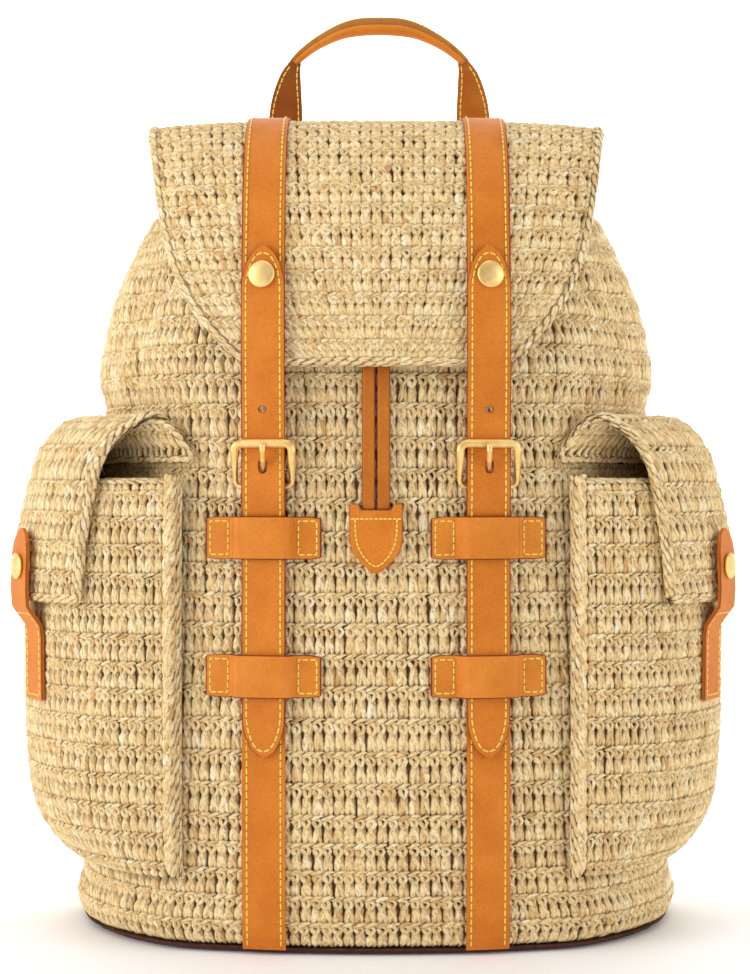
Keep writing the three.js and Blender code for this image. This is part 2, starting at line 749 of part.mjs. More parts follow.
// A slot with round ends, cut along the seat's outward direction.
function slotCutter(seat, width, height, length) {
  const radius = width / 2
  const shape = new THREE.Shape()
  shape.absarc(0, height / 2 - radius, radius, 0, Math.PI)
  shape.absarc(0, radius - height / 2, radius, Math.PI, 2 * Math.PI)
  shape.closePath()
  const geometry = new THREE.ExtrudeGeometry(shape, { depth: length, bevelEnabled: false, curveSegments: 6 })
  return welded(geometry.translate(0, 0, -length / 2).applyMatrix4(seat))
}

// A geometry with its shared corners merged, as a plain mesh.
function welded(geometry, name = 'tool', finish = brass) {
  const source = geometry.index ? geometry.toNonIndexed() : geometry
  const positions = source.getAttribute('position')
  const corners = []
  const seen = new Map()
  const order = []
  for (let i = 0; i < positions.count; i += 1) {
    const corner = new THREE.Vector3().fromBufferAttribute(positions, i)
    const key = corner.toArray().map((value) => Math.round(value * 1000)).join(' ')
    if (!seen.has(key)) seen.set(key, corners.push(corner) - 1)
    order.push(seen.get(key))
  }
  const faces = []
  for (let i = 0; i < order.length; i += 3) {
    const [a, b, c] = order.slice(i, i + 3)
    if (a !== b && b !== c && c !== a) faces.push([a, b, c])
  }
  return closedMesh(name, corners, faces, finish)
}

function beltStrap(name, middle) {
  const places = beltPlaces(middle)
  const halfAt = (place) => Math.min(pointed(BELT_TOP - place.z), pointed(place.z - BELT_TIP))
  const mesh = strap(name, middle, places, tan, { halfAt })
  const through = 6 * LEATHER
  cut(mesh, punch(seatOn(middle, places, BELT_HOLE_HEIGHT, LEATHER / 2), BELT_HOLE, through))
  const seat = seatOn(middle, places, PRONG_HOLE_HEIGHT, LEATHER / 2)
  return cut(mesh, slotCutter(seat, PRONG + 2 * GAP, PRONG_HOLE_LENGTH, through))
}

// The base strap climbs the body, turns round the heel bar and comes down in front of it.
function baseStrapPlaces(middle) {
  const places = []
  for (const share of BASE_STRAP_SHARES) {
    const z = mix(BASE_STRAP_END, BUCKLE_HEEL - HEEL_RUN, share)
    places.push({ ...overBody(middle, z, GAP), thick: LEATHER })
  }
  places.push({ ...overBody(middle, BUCKLE_HEEL - SKIVE_RUN, GAP), thick: SKIVED })
  const heel = overBody(middle, BUCKLE_HEEL, HEEL_LIFT)
  const inner = HEEL_BAR / 2 + GAP
  for (let turn = 0; turn <= 6; turn += 1) {
    const angle = Math.PI * turn / 6
    places.push({
      y: heel.y + (inner + SKIVED) * Math.cos(angle),
      z: heel.z + (inner + SKIVED) * Math.sin(angle),
      thick: SKIVED,
    })
  }
  places.push({ y: heel.y - inner - SKIVED, z: heel.z - HEEL_RETURN, thick: SKIVED })
  return places
}

function baseStrap(name, middle) {
  const places = baseStrapPlaces(middle)
  const mesh = strap(name, middle, places, tan, { thickAt: (place) => place.thick })
  const heel = overBody(middle, BUCKLE_HEEL, HEEL_LIFT)
  const seat = new THREE.Matrix4().makeRotationX(Math.PI / 2).setPosition(point(middle, heel.y, heel.z))
  const tall = 3 * HEEL_BAR
  return cut(mesh, slotCutter(seat, PRONG + 4 * GAP, tall, tall))
}

// A bar of round section along a route in a seat's own directions.
function bar(name, route, radiusAt, finish, joined, sides = 8) {
  const count = route.length
  const rings = route.map((centre, i) => {
    const before = joined ? route[(i + count - 1) % count] : route[Math.max(0, i - 1)]
    const after = joined ? route[(i + 1) % count] : route[Math.min(count - 1, i + 1)]
    const run = after.clone().sub(before).normalize()
    const side = run.clone().cross(route.upright).normalize()
    const lift = side.clone().cross(run)
    const ring = []
    for (let j = 0; j < sides; j += 1) {
      const angle = 2 * Math.PI * (j + 0.5) / sides
      const radius = radiusAt(i)
      const offset = side.clone().multiplyScalar(radius * Math.cos(angle))
      ring.push(centre.clone().add(offset).addScaledVector(lift, radius * Math.sin(angle)))
    }
    return ring
  })
  return ringSolid(name, rings, finish, joined ? 'joined' : 'fan')
}

function buckle(name, middle) {
  const top = overBody(middle, BUCKLE_TOP, TOP_BAR_LIFT)
  const heel = overBody(middle, BUCKLE_HEEL, HEEL_LIFT)
  const half = BUCKLE_WIDTH / 2 - BUCKLE_BAR / 2
  const corner = BUCKLE_CORNER
  const rise = top.z - heel.z
  const route = []
  const add = (x, share) => {
    const out = mix(heel.y, top.y, ease(share))
    const tilt = frontBow(middle + x, BUCKLE_TOP) - frontBow(middle, BUCKLE_TOP)
    route.push(point(middle + x, out + tilt, heel.z + rise * share))
  }
  const bend = corner / rise
  const turn = (cx, cs, from) => {
    for (let i = 0; i <= 3; i += 1) {
      const angle = from + Math.PI / 2 * i / 3
      add(cx + corner * Math.cos(angle), cs + bend * Math.sin(angle))
    }
  }
  add(half, 0.5)
  turn(half - corner, 1 - bend, 0)
  add(0, 1)
  turn(-half + corner, 1 - bend, Math.PI / 2)
  add(-half, 0.5)
  turn(-half + corner, bend, Math.PI)
  add(0, 0)
  turn(half - corner, bend, 3 * Math.PI / 2)
  route.upright = point(0, -1, 0)
  const riseAt = (i) => ease((route[i].z - heel.z - corner) / (rise - corner))
  const radiusAt = (i) => mix(HEEL_BAR, BUCKLE_BAR, riseAt(i)) / 2
  return bar(name, route, radiusAt, brass, true)
}

// The prong: a thin loop round the heel bar, then a thicker pin up onto the top bar.
function prong(name, middle) {
  const heel = overBody(middle, BUCKLE_HEEL, HEEL_LIFT)
  const top = overBody(middle, BUCKLE_TOP, TOP_BAR_LIFT)
  const face = top.y - (BUCKLE_BAR + PRONG) / 2 - GAP
  const wire = PRONG_WIRE / 2
  const wrap = HEEL_BAR / 2 + GAP + wire
  const route = []
  for (let i = 0; i <= PRONG_LOOP.steps; i += 1) {
    const angle = mix(PRONG_LOOP.from, PRONG_LOOP.to, i / PRONG_LOOP.steps)
    route.push(point(middle, heel.y + wrap * Math.cos(angle), heel.z + wrap * Math.sin(angle)))
  }
  for (const { out, up } of PRONG_ROWS) route.push(point(middle, heel.y - out, heel.z + up))
  route.push(point(middle, face, BUCKLE_TOP - PRONG))
  route.push(point(middle, face, BUCKLE_TOP))
  route.push(point(middle, face + PRONG_TIP / 2, BUCKLE_TOP + PRONG_TIP))
  route.upright = point(1, 0, 0)
  const last = route.length - 1
  const radiusAt = (i) => {
    if (i === last) return PRONG / 4
    return Math.min(PRONG / 2, wire + Math.max(0, i - PRONG_LOOP.steps) * PRONG / 10)
  }
  return bar(name, route, radiusAt, brass, false)
}

// A domed stud with a rim, standing along +Z of its own seat.
function stud(name, seat, width = STUD_WIDTH, height = STUD_HEIGHT) {
  const profile = STUD_ROWS.map(({ across, up }) => new THREE.Vector2(across * width / 2, up * height))
  const geometry = new THREE.LatheGeometry(profile, 16)
  geometry.rotateX(Math.PI / 2)
  return placed(welded(geometry, name, brass), seat)
}

function keeper(name, middle, z) {
  const layer = BELT_LIFT_KEEPER + LEATHER + 2 * GAP
  const half = KEEPER_WIDTH / 2
  const mirrored = KEEPER_ROWS.slice(0, -1).reverse().map(({ across, rise }) => ({ across: -across, rise }))
  const grid = [-0.5, 0, 0.5].map((share) => [...KEEPER_ROWS, ...mirrored].map(({ across, rise }) => {
    const soft = Math.abs(across) === 1 ? 0.92 : 1
    return onFront(middle + half * across, z + share * KEEPER_HEIGHT * soft, mix(GAP, layer, rise))
  }))
  const normals = gridNormals(grid)
  return bandSolid(name, raised(grid, normals, KEEPER_THICK), grid, tan)
}

// A pocket's outer face at a share of its plan and a height; sign is the side of the bag.
function pocketPoint(sign, along, z) {
  const reach = sign < 0 ? POCKET_REACH_LEFT : POCKET_REACH_RIGHT
  const at = (column) => between(POCKET_PLAN, column, along)
  const foot = mix(POCKET_BODY_START, POCKET_BODY_END, at('foot'))
  const inner = onBody(foot, z, SEAT_GAP)
  const side = at('side') * reach
  const outer = point(Math.max(side, along < 0.1 ? POCKET_FRONT : 0), at('depth') * POCKET_HALF_DEPTH, z)
  const up = (z - POCKET_FLOOR) / (POCKET_RIM - POCKET_FLOOR)
  const swell = between(POCKET_ROWS, 'swell', up)
  const held = mix(swell, 1, at('firm') * 0.6)
  const place = inner.clone().lerp(outer, held)
  place.z = z
  inner.z = z
  return { place: place.setX(sign * place.x), foot: inner.setX(sign * inner.x) }
}

function pocketRing(sign, z, wall) {
  const outerCount = 20
  const ring = []
  const trim = wall > 0 ? POCKET_TRIM : 0
  for (let i = 0; i <= outerCount; i += 1) {
    const along = mix(trim, 1 - trim, (i / outerCount) ** 1.15)
    const { place, foot } = pocketPoint(sign, along, z)
    const depth = place.distanceTo(foot)
    const kept = wall > 0 ? Math.max(0.05, 1 - wall / depth) : 1
    ring.push(foot.clone().lerp(place, kept))
  }
  const first = POCKET_BODY_START + trim / 3
  const last = POCKET_BODY_END - trim / 3
  for (let side = BODY_SIDES / 2; side >= 0; side -= 1) {
    const round = 2 * side / BODY_SIDES
    if (round > first + 0.006 && round < last - 0.006) {
      const place = onBody(round, z, wall > 0 ? -1 : SEAT_GAP)
      ring.push(place.set(sign * place.x, place.y, z))
    }
  }
  return ring
}

function pocket(name, sign) {
  const height = POCKET_RIM - POCKET_FLOOR
  const outerRows = [0, 0.02, 0.068, 0.13, 0.22, 0.37, 0.52, 0.7, 0.82, 0.92, 1]
  const outerRings = outerRows.map((up) => pocketRing(sign, POCKET_FLOOR + up * height, 0))
  const outer = ringSolid(name, outerRings, straw, 'plan')
  const innerRows = [0.09, 0.22, 0.52, 0.82, 0.92, 1.01]
  const rings = innerRows.map((up) => pocketRing(sign, POCKET_FLOOR + up * height, POCKET_WALL))
  return cut(outer, ringSolid('room', rings, straw, 'plan'))
}

// Points of a pocket's wall pushed outward in plan.
function besidePocket(sign, along, z, height) {
  const step = 0.01
  const here = pocketPoint(sign, along, z).place
  const run = pocketPoint(sign, along + step, z).place.sub(pocketPoint(sign, along - step, z).place)
  const out = point(run.y, -run.x, 0).normalize().multiplyScalar(sign)
  return here.addScaledVector(out, height)
}

// The flap of a pocket from its sewn foot over the arch to its free edge; the arch sinks to the back.
function pocketFlapGrid(sign) {
  const lengthCount = 11
  const rows = []
  for (let i = 0; i <= lengthCount; i += 1) {
    const share = i / lengthCount
    const sunk = ease((share - POCKET_FLAP_PLAN.sink) / (1 - POCKET_FLAP_PLAN.sink))
    const { inset } = POCKET_FLAP_PLAN
    const foot = mix(POCKET_BODY_START + inset, POCKET_BODY_END - inset, share)
    const low = mix(POCKET_FLAP_FOOT, POCKET_FLAP_BACK, sunk)
    const lift = mix(POCKET_FLAP_ARCH - POCKET_FLAP_FOOT, POCKET_FLAP_SEAT, sunk)
    const start = mix(POCKET_FLAP_PLAN.start, POCKET_FLAP_PLAN.end, share)
    const rim = besidePocket(sign, start, POCKET_RIM, POCKET_FLAP_SEAT + GAP)
    const row = []
    for (const z of [low, low + POCKET_WALL * (1 - sunk / 2)]) {
      const place = onBody(foot, z, SEAT_GAP + POCKET_WALL)
      row.push(place.setX(sign * place.x))
    }
    for (const { across, rise } of ARCH_ROWS) {
      const base = row[1].clone().lerp(rim, across)
      base.z = mix(low + rise * lift, Math.max(base.z, POCKET_RIM + POCKET_FLAP_SEAT), sunk)
      row.push(base)
    }
    for (const drop of [0.16, 0.45, 0.72, 1]) {
      const along = mix(POCKET_FLAP_PLAN.start + drop * POCKET_FLAP_PLAN.slant, POCKET_FLAP_PLAN.end, share)
      row.push(besidePocket(sign, along, mix(POCKET_RIM, POCKET_FLAP_END, drop), POCKET_FLAP_SEAT))
    }
    rows.push(sign > 0 ? row : row.reverse())
  }
  return rows
}

function pocketFlap(name, sign) {
  const grid = pocketFlapGrid(sign)
  const normals = gridNormals(grid)
  const middle = normals[5][6]
  const height = middle.z > 0 ? POCKET_WALL : -POCKET_WALL
  return bandSolid(name, raised(grid, normals, height), grid, straw)
}

// The seat of a pocket's tab: its route from the sewn foot up over the pocket's flap.
function tabRoute(sign) {
  const high = POCKET_FLAP_SEAT + POCKET_WALL + GAP + SNAP_HEIGHT + GAP
  return TAB_ROWS.map(({ share, rise }) => (
    besidePocket(sign, TAB_ALONG, mix(TAB_BOTTOM, TAB_TOP, share), mix(GAP, high, rise))
  ))
}

function tabAcross(sign) {
  const step = 0.01
  const z = TAB_STUD_HEIGHT
  const run = pocketPoint(sign, TAB_ALONG + step, z).place.sub(pocketPoint(sign, TAB_ALONG - step, z).place)
  return run.setZ(0).normalize().multiplyScalar(sign)
}

function pocketTab(name, sign) {
  const route = tabRoute(sign)
  const across = tabAcross(sign)
  const steps = 2
  const grid = route.map((place) => {
    const fromTop = TAB_TOP - place.z
    const narrow = fromTop < TAB_TIP ? Math.max(0.15, Math.sqrt(1 - (1 - fromTop / TAB_TIP) ** 1.7)) : 1
    const row = []
    for (let j = 0; j <= steps; j += 1) {
      row.push(place.clone().addScaledVector(across, TAB_WIDTH / 2 * narrow * (2 * j / steps - 1)))
    }
    return row
  })
  const normals = gridNormals(grid)
  const height = normals[0][1].x * sign > 0 ? LEATHER : -LEATHER
  return bandSolid(name, raised(grid, normals, height), grid, tan)
}

function tabSeat(sign, height) {
  const across = tabAcross(sign)
  const out = point(across.y, -across.x, 0)
  if (out.x * sign < 0) out.negate()
  const side = point(0, 0, 1).cross(out)
  const origin = besidePocket(sign, TAB_ALONG, TAB_STUD_HEIGHT, height)
  return new THREE.Matrix4().makeBasis(side, point(0, 0, 1), out).setPosition(origin)
}

// The laces' route: out of the mouth under the flap, then down the front to the shield tab.
function laceRoute(side) {
  const x = side * LACE_SPREAD
  const end = { up: SHIELD_TOP - SHIELD_NOTCH + GAP, lift: LACE_LIFT }
  return [...LACE_ROWS, end].map(({ up, lift }) => onFront(x, up, lift).setX(x))
}

function lace(name, side) {
  const route = new THREE.CatmullRomCurve3(laceRoute(side), false, 'centripetal')
  const half = LACE_WIDTH / 2
  const thin = LACE_THICK / 2
  const flat = half - LACE_EDGE
  const top = thin - LACE_EDGE * 0.75
  const section = new THREE.Shape([
    [-flat, -thin], [flat, -thin], [half, -top], [half, top],
    [flat, thin], [-flat, thin], [-half, top], [-half, -top],
  ].map(([x, y]) => new THREE.Vector2(x, y)))
  const geometry = new THREE.ExtrudeGeometry(section, { steps: 20, extrudePath: route })
  return welded(geometry, name, tan)
}

// The part of the drawstring that the mouth holds, from one lace's exit round the back to the other.
function drawstringLoop() {
  const z = LOOP_HEIGHT
  const count = 40
  const route = []
  for (let i = 0; i <= count; i += 1) {
    const round = mix(LOOP_START, 2 - LOOP_START, i / count)
    const turned = round > 1 ? round - 2 : round
    const wall = bodyPoint(turned, z - LOOP_CORD / 2)
    const out = bodyNormal(turned, z).setZ(0).normalize()
    route.push(wall.addScaledVector(out, 2 * GAP + LOOP_CORD / 2).setZ(z))
  }
  route.upright = point(0, 0, 1)
  return bar('drawstring_loop', route, () => LOOP_CORD / 2, tan, false, 6)
}

function shieldTab() {
  const half = SHIELD_WIDTH / 2
  const height = SHIELD_TOP - SHIELD_TIP
  const outline = new THREE.Shape()
  outline.moveTo(-half, -1)
  outline.lineTo(-half, -height * 0.5)
  outline.bezierCurveTo(-half, -height * 0.72, -half * 0.45, -height * 0.9, 0, -height)
  outline.bezierCurveTo(half * 0.45, -height * 0.9, half, -height * 0.72, half, -height * 0.5)
  outline.lineTo(half, -1)
  outline.lineTo(half - 1, 0)
  outline.lineTo(half * 0.68, 0)
  outline.lineTo(half * 0.58, -SHIELD_NOTCH)
  outline.lineTo(-half * 0.58, -SHIELD_NOTCH)
  outline.lineTo(-half * 0.68, 0)
  outline.lineTo(-half + 1, 0)
  const options = {
    depth: SHIELD_THICK - 2 * SHIELD_EDGE, bevelEnabled: true,
    bevelThickness: SHIELD_EDGE, bevelSize: SHIELD_EDGE, bevelOffset: -SHIELD_EDGE,
    bevelSegments: 1, curveSegments: 5,
  }
  const geometry = new THREE.ExtrudeGeometry(outline, options)
  geometry.translate(0, 0, SHIELD_EDGE)
  const seat = onFront(0, (SHIELD_TOP + SHIELD_TIP) / 2, GAP)
  const matrix = new THREE.Matrix4().makeBasis(point(1, 0, 0), point(0, 0, 1), point(0, -1, 0))
  matrix.setPosition(point(0, seat.y - SHIELD_EDGE, SHIELD_TOP))
  return placed(welded(geometry, 'drawstring_tab', tan), matrix)
}

function handleStrap(name, sign) {
  const rows = LEG_ROWS.map((row) => ({
    centre: point(HANDLE_SHIFT + sign * -row.out, row.back, row.up),
    half: HANDLE_WIDTH / 2 * row.half,
    thick: row.thick,
  }))
  const over = []
  const under = []
  rows.forEach((row, i) => {
    const run = rows[Math.min(rows.length - 1, i + 1)].centre.clone().sub(rows[Math.max(0, i - 1)].centre)
    const across = point(run.z, 0, -run.x).normalize()
    const out = across.clone().cross(run).normalize()
    const line = (height) => [-1, -0.5, 0, 0.5, 1].map((share) => row.centre.clone()
      .addScaledVector(across, row.half * share).addScaledVector(out, height * (out.y > 0 ? 1 : -1)))
    over.push(line(row.thick))
    under.push(line(0))
  })
  return bandSolid(name, over, under, tan)
}

function gripRoute(count) {
  const route = []
  for (let i = -count; i <= count; i += 1) {
    const share = i / count
    const x = HANDLE_SHIFT + share * HANDLE_SPAN / 2
    const z = HANDLE_TOP - between(GRIP_ROWS, 'drop', Math.abs(share))
    route.push(point(x, HANDLE_DEPTH, z))
  }
  return route
}

function handleGrip() {
  const count = 8
  const route = gripRoute(count)
  const rings = route.map((centre, i) => {
    const run = route[Math.min(route.length - 1, i + 1)].clone().sub(route[Math.max(0, i - 1)]).normalize()
    const up = point(-run.z, 0, run.x)
    const girth = between(GRIP_ROWS, 'girth', Math.abs(i - count) / count)
    return GRIP_SECTION.map(({ out, rise }) => centre.clone()
      .add(point(0, out * GRIP_DEPTH * girth, 0)).addScaledVector(up, rise * GRIP_HEIGHT * girth))
  })
  return ringSolid('handle_grip', rings, tan, 'fan')
}

function shoulderStrap(name, sign) {
  const rows = SHOULDER_ROWS.map(({ out, bow, up }) => {
    const base = onBack(sign * out, up, 2 * SEAT_GAP)
    return base.add(point(0, bow * SHOULDER_BOW, 0))
  })
  const places = spread(rows, 20)
  const over = []
  const under = []
  places.forEach((centre, i) => {
    const run = places[Math.min(places.length - 1, i + 1)].clone().sub(places[Math.max(0, i - 1)]).normalize()
    const across = run.clone().cross(point(0, 1, 0)).normalize()
    const out = across.clone().cross(run).normalize()
    if (out.y < 0) out.negate()
    const line = (height) => [-1, 0, 1].map((share) => centre.clone()
      .addScaledVector(across, SHOULDER_WIDTH / 2 * share).addScaledVector(out, height))
    over.push(line(SHOULDER_THICK))
    under.push(line(0))
  })
  return bandSolid(name, over, under, tan)
}

bag.add(basePanel(), bodyShell(), flap(), drawstringLoop(), shieldTab(), handleGrip())
const snapLift = POCKET_FLAP_SEAT + POCKET_WALL + GAP
for (const [side, sign] of [['left', -1], ['right', 1]]) {
  const middle = sign * STRAP_OFFSET
  const belt = beltPlaces(middle)
  bag.add(
    flapStrap(`flap_strap_${side}`, middle),
    beltStrap(`belt_strap_${side}`, middle),
    baseStrap(`base_strap_${side}`, middle),
    buckle(`buckle_frame_${side}`, middle),
    prong(`buckle_prong_${side}`, middle),
    stud(`belt_stud_${side}`, seatOn(middle, belt, BELT_STUD_HEIGHT, LEATHER + GAP)),
    keeper(`keeper_${side}_upper`, middle, KEEPER_UPPER),
    keeper(`keeper_${side}_lower`, middle, KEEPER_LOWER),
    pocket(`pocket_${side}`, sign),
    pocketFlap(`pocket_flap_${side}`, sign),
    pocketTab(`pocket_tab_${side}`, sign),
    stud(`pocket_snap_${side}`, tabSeat(sign, snapLift), SNAP_WIDTH, SNAP_HEIGHT),
    stud(`pocket_stud_${side}`, tabSeat(sign, snapLift + SNAP_HEIGHT + 2 * GAP + LEATHER)),
    lace(`drawstring_lace_${side}`, sign),
    handleStrap(`handle_strap_${side}`, sign),
    shoulderStrap(`shoulder_strap_${side}`, sign),
  )
}

export default bag
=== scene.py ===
import math
import bpy
import numpy as np
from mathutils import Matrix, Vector
from mathutils.bvhtree import BVHTree


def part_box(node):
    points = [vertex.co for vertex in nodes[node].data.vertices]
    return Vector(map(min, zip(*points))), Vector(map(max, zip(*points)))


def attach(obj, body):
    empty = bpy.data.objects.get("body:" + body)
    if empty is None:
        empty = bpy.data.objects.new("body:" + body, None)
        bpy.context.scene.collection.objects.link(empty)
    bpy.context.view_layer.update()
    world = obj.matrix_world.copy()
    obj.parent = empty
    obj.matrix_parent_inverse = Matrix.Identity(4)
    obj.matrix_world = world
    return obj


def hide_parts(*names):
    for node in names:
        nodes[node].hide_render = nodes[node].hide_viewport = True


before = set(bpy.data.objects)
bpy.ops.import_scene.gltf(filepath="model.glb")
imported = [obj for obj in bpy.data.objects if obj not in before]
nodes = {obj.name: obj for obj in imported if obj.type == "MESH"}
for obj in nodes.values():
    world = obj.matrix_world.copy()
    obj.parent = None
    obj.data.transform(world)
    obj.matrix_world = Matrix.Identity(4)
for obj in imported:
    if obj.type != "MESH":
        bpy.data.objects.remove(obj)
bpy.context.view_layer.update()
rng = np.random.default_rng(7)
mm = 0.001

# camera, level and square to the front
camera = bpy.data.objects.new("camera", bpy.data.cameras.new("camera"))
bpy.context.scene.collection.objects.link(camera)
camera.location = (-0.0005, -1.025, 0.230)
camera.rotation_euler = (math.pi / 2, 0, 0)
camera.data.lens = 71.7
camera.data.sensor_width = 36
camera.data.clip_start = 0.01
bpy.context.scene.camera = camera
print("camera")

# the part's sizes and tables, in millimetres, repeated so that the weave lies on its surfaces
bodyFloor, bodyHeight, bodyHalf, bodyDepth = 2.8, 395.0, 162.0, 75.0
plan = np.array([  # share of the way round, side, depth
    (0, 0, -1), (.075, .19, -.985), (.153, .383, -.933), (.2535, .63, -.813), (.303, .735, -.667),
    (.36, .84, -.453), (.431, .938, -.133), (.528, 1, .373), (.582, .988, .667), (.633, .914, .893),
    (.693, .772, 1), (.848, .383, 1), (1, 0, 1)])
bodyRows = np.array([  # share of the height, half width, front, back
    (0, .965, .955, .955), (.012, .99, .99, .98), (.03, .995, 1.01, .99), (.062, .975, 1.03, 1.01),
    (.15, .957, 1.055, 1.02), (.3, .94, 1.06, 1.02), (.45, .92, 1.05, 1.02), (.6, .905, 1.03, 1.02),
    (.672, .901, 1.01, 1.02), (.725, .925, 1, 1.02), (.773, .908, .985, 1.02), (.826, .877, .955, 1.02),
    (.887, .815, .875, 1.02), (.932, .76, .77, 1.02), (.953, .72, .7, 1.015), (.976, .645, .57, .97),
    (1, .55, .42, .87)])
creases = [  # round, up, lean, breadth, reach, depth
    (.31, .86, -.55, .022, .1, 5), (.4, .79, -.45, .026, .09, 4.5), (.36, .71, -.3, .02, .06, 3.5)]
gatherStart, gatherReach, gatherFolds, gatherDepth = .84, .16, 12, 4.5  # the mouth's folds
flapPath = np.array([  # along, out, up, half width, bow
    (0, -84.3, 289.5, .53, 1), (.035, -84.6, 297, .615, 1), (.075, -84.8, 306, .69, 1),
    (.13, -84.8, 319, .775, 1), (.2, -84, 335, .845, 1), (.28, -81.8, 352, .892, .97),
    (.36, -77.2, 370.5, .925, .9), (.44, -68, 390.5, .952, .75), (.52, -53, 406.5, .975, .55),
    (.6, -33, 416.3, .99, .3), (.68, -9, 421, 1, .1), (.76, 16, 422, 1, 0), (.84, 42, 418.5, .99, 0),
    (.9, 63, 411, .975, 0), (.945, 77, 401, .96, 0), (.97, 83, 387.5, .95, 0), (1, 83.6, 371, .94, 0)])
flapHalf, flapFrontEnd = 118.0, 289.5
flapDroop, droopStart, droopReach = 3.5, .45, .2  # how far the flap's sides hang down, and from where
pocketPlan = np.array([  # along, side, depth, foot, firm
    (0, .519, -.99, 0, 1), (.05, .545, -1.03, .02, 1), (.14, .645, -1.015, .14, .8),
    (.25, .78, -.88, .26, .4), (.36, .892, -.63, .37, .1), (.47, .968, -.29, .48, 0),
    (.6, 1, .115, .62, 0), (.74, .989, .51, .78, .1), (.85, .955, .78, .9, .4),
    (.95, .89, .945, .98, .8), (1, .84, .985, 1, 1)])
pocketRows = np.array([  # up, swell
    (0, .14), (.02, .34), (.068, .61), (.15, .86), (.3, .97), (.5, 1), (.75, 1), (.88, .95), (1, .8)])
archRows = [(.1, .55), (.28, .97), (.48, 1), (.68, .74), (.86, .32), (.97, -.15)]  # across, rise
pocketFloor, pocketRim, pocketHalfDepth, pocketFront = 37.0, 235.0, 70.0, 96.0
pocketReach = {-1: 186.0, 1: 183.0}
bodyStart, bodyEnd, seatGap, wall = .243, .622, .7, 4.5
lapFoot, lapFootBack, lapArch, lapEnd = 243.0, 237.0, 262.0, 173.0  # heights of the pocket flaps
lapSeat, hemDrop = 1.2, 3.5  # how far they lie outside the pocket, and their hem below its rim
lapStart, lapSlant, lapBack, lapSink = .225, .025, .9, .45  # shares along the pocket
bothSides = ((-1, "left"), (1, "right"))


def ease(value):
    held = np.clip(value, 0, 1)
    return held * held * (3 - 2 * held)


def between(rows, column, at):  # a table's column as a smooth curve over its first column
    keys, values, last = rows[:, 0], rows[:, column], len(rows) - 1
    at = np.clip(np.asarray(at, float), keys[0], keys[-1])
    before = np.maximum(np.arange(last + 1) - 1, 0)
    after = np.minimum(np.arange(last + 1) + 1, last)
    slopes = (values[after] - values[before]) / (keys[after] - keys[before])
    row = np.clip(np.searchsorted(keys, at, side="right") - 1, 0, last - 1)
    span = keys[row + 1] - keys[row]
    t = (at - keys[row]) / span
    rise = values[row] + (values[row + 1] - values[row]) * t * t * (3 - 2 * t)
    return rise + t * (1 - t) ** 2 * span * slopes[row] + t * t * (t - 1) * span * slopes[row + 1]


def unit(vectors):
    return vectors / np.maximum(np.linalg.norm(vectors, axis=-1, keepdims=True), 1e-9)


def bodyPoint(turn, z):
    up = (z - bodyFloor) / bodyHeight
    half = bodyHalf * between(bodyRows, 1, up)
    front = bodyDepth * between(bodyRows, 2, up)
    back = bodyDepth * between(bodyRows, 3, up)
    side = between(plan, 1, np.abs(turn))
    depth = between(plan, 2, np.abs(turn))
    x = np.sign(turn) * side * half
    y = (back - front) / 2 + depth * (front + back) / 2
    return np.stack(np.broadcast_arrays(x, y, z), -1)


def onBody(turn, z, height):
    held = np.clip(turn, -.99, .99)
    held = np.where(np.abs(held) < .005, .005, held)
    level = np.clip(z, bodyFloor + 1, bodyFloor + bodyHeight - 1)
    across = bodyPoint(held + .004, level) - bodyPoint(held - .004, level)
    along = bodyPoint(held, level + .5) - bodyPoint(held, level - .5)
    normal = unit(np.cross(across, along))
    return bodyPoint(turn, z) + normal * np.asarray(height)[..., None]


def turnAt(x, z, back=False):
    x, z = np.broadcast_arrays(np.asarray(x, float), np.asarray(z, float))
    low = np.full(x.shape, .55 if back else 0.0)
    high = np.full(x.shape, 1.0 if back else .52)
    for _ in range(22):
        middle = (low + high) / 2
        further = bodyPoint(middle, z)[..., 0] > np.abs(x)
        low = np.where(further == back, middle, low)
        high = np.where(further == back, high, middle)
    return np.where(x < 0, -1, 1) * (low + high) / 2


def onFront(x, z, height):
    return onBody(turnAt(x, z), z, height)


def frontBow(x, z):
    held = np.minimum(z, flapFrontEnd) + 0 * x
    return bodyPoint(turnAt(x, held), held)[..., 1] - bodyPoint(0 * x, held)[..., 1]


def wovenBody(turn, z):
    up = (z - bodyFloor) / bodyHeight
    folds = np.cos(gatherFolds * math.pi * turn) - 1
    height = gatherDepth * ease((up - gatherStart) / gatherReach) * folds
    for place, level, lean, breadth, reach, depth in creases:
        off = np.abs(turn) - place - lean * (up - level)
        height = height - depth * np.exp(-(off / breadth) ** 2 - ((up - level) / reach) ** 2)
    return onBody(turn, z, height)


def flapPoint(along, across):
    x = across * flapHalf * between(flapPath, 3, along)
    droop = flapDroop * across ** 4 * ease((along - droopStart) / droopReach)
    y = between(flapPath, 1, along) + frontBow(x, flapFrontEnd) * between(flapPath, 4, along)
    return np.stack([x, y, between(flapPath, 2, along) - droop], -1)


def pocketPoint(sign, along, z):
    foot = bodyStart + (bodyEnd - bodyStart) * between(pocketPlan, 3, along)
    inner = onBody(foot, z, seatGap + 0 * z)
    x = np.maximum(between(pocketPlan, 1, along) * pocketReach[sign], np.where(along < .1, pocketFront, 0))
    outer = np.stack(np.broadcast_arrays(x, between(pocketPlan, 2, along) * pocketHalfDepth, z), -1)
    swell = between(pocketRows, 1, (z - pocketFloor) / (pocketRim - pocketFloor))
    held = swell + (1 - swell) * between(pocketPlan, 4, along) * .6
    place = inner + (outer - inner) * held[..., None]
    place[..., 2] = z
    place[..., 0] *= sign
    return place


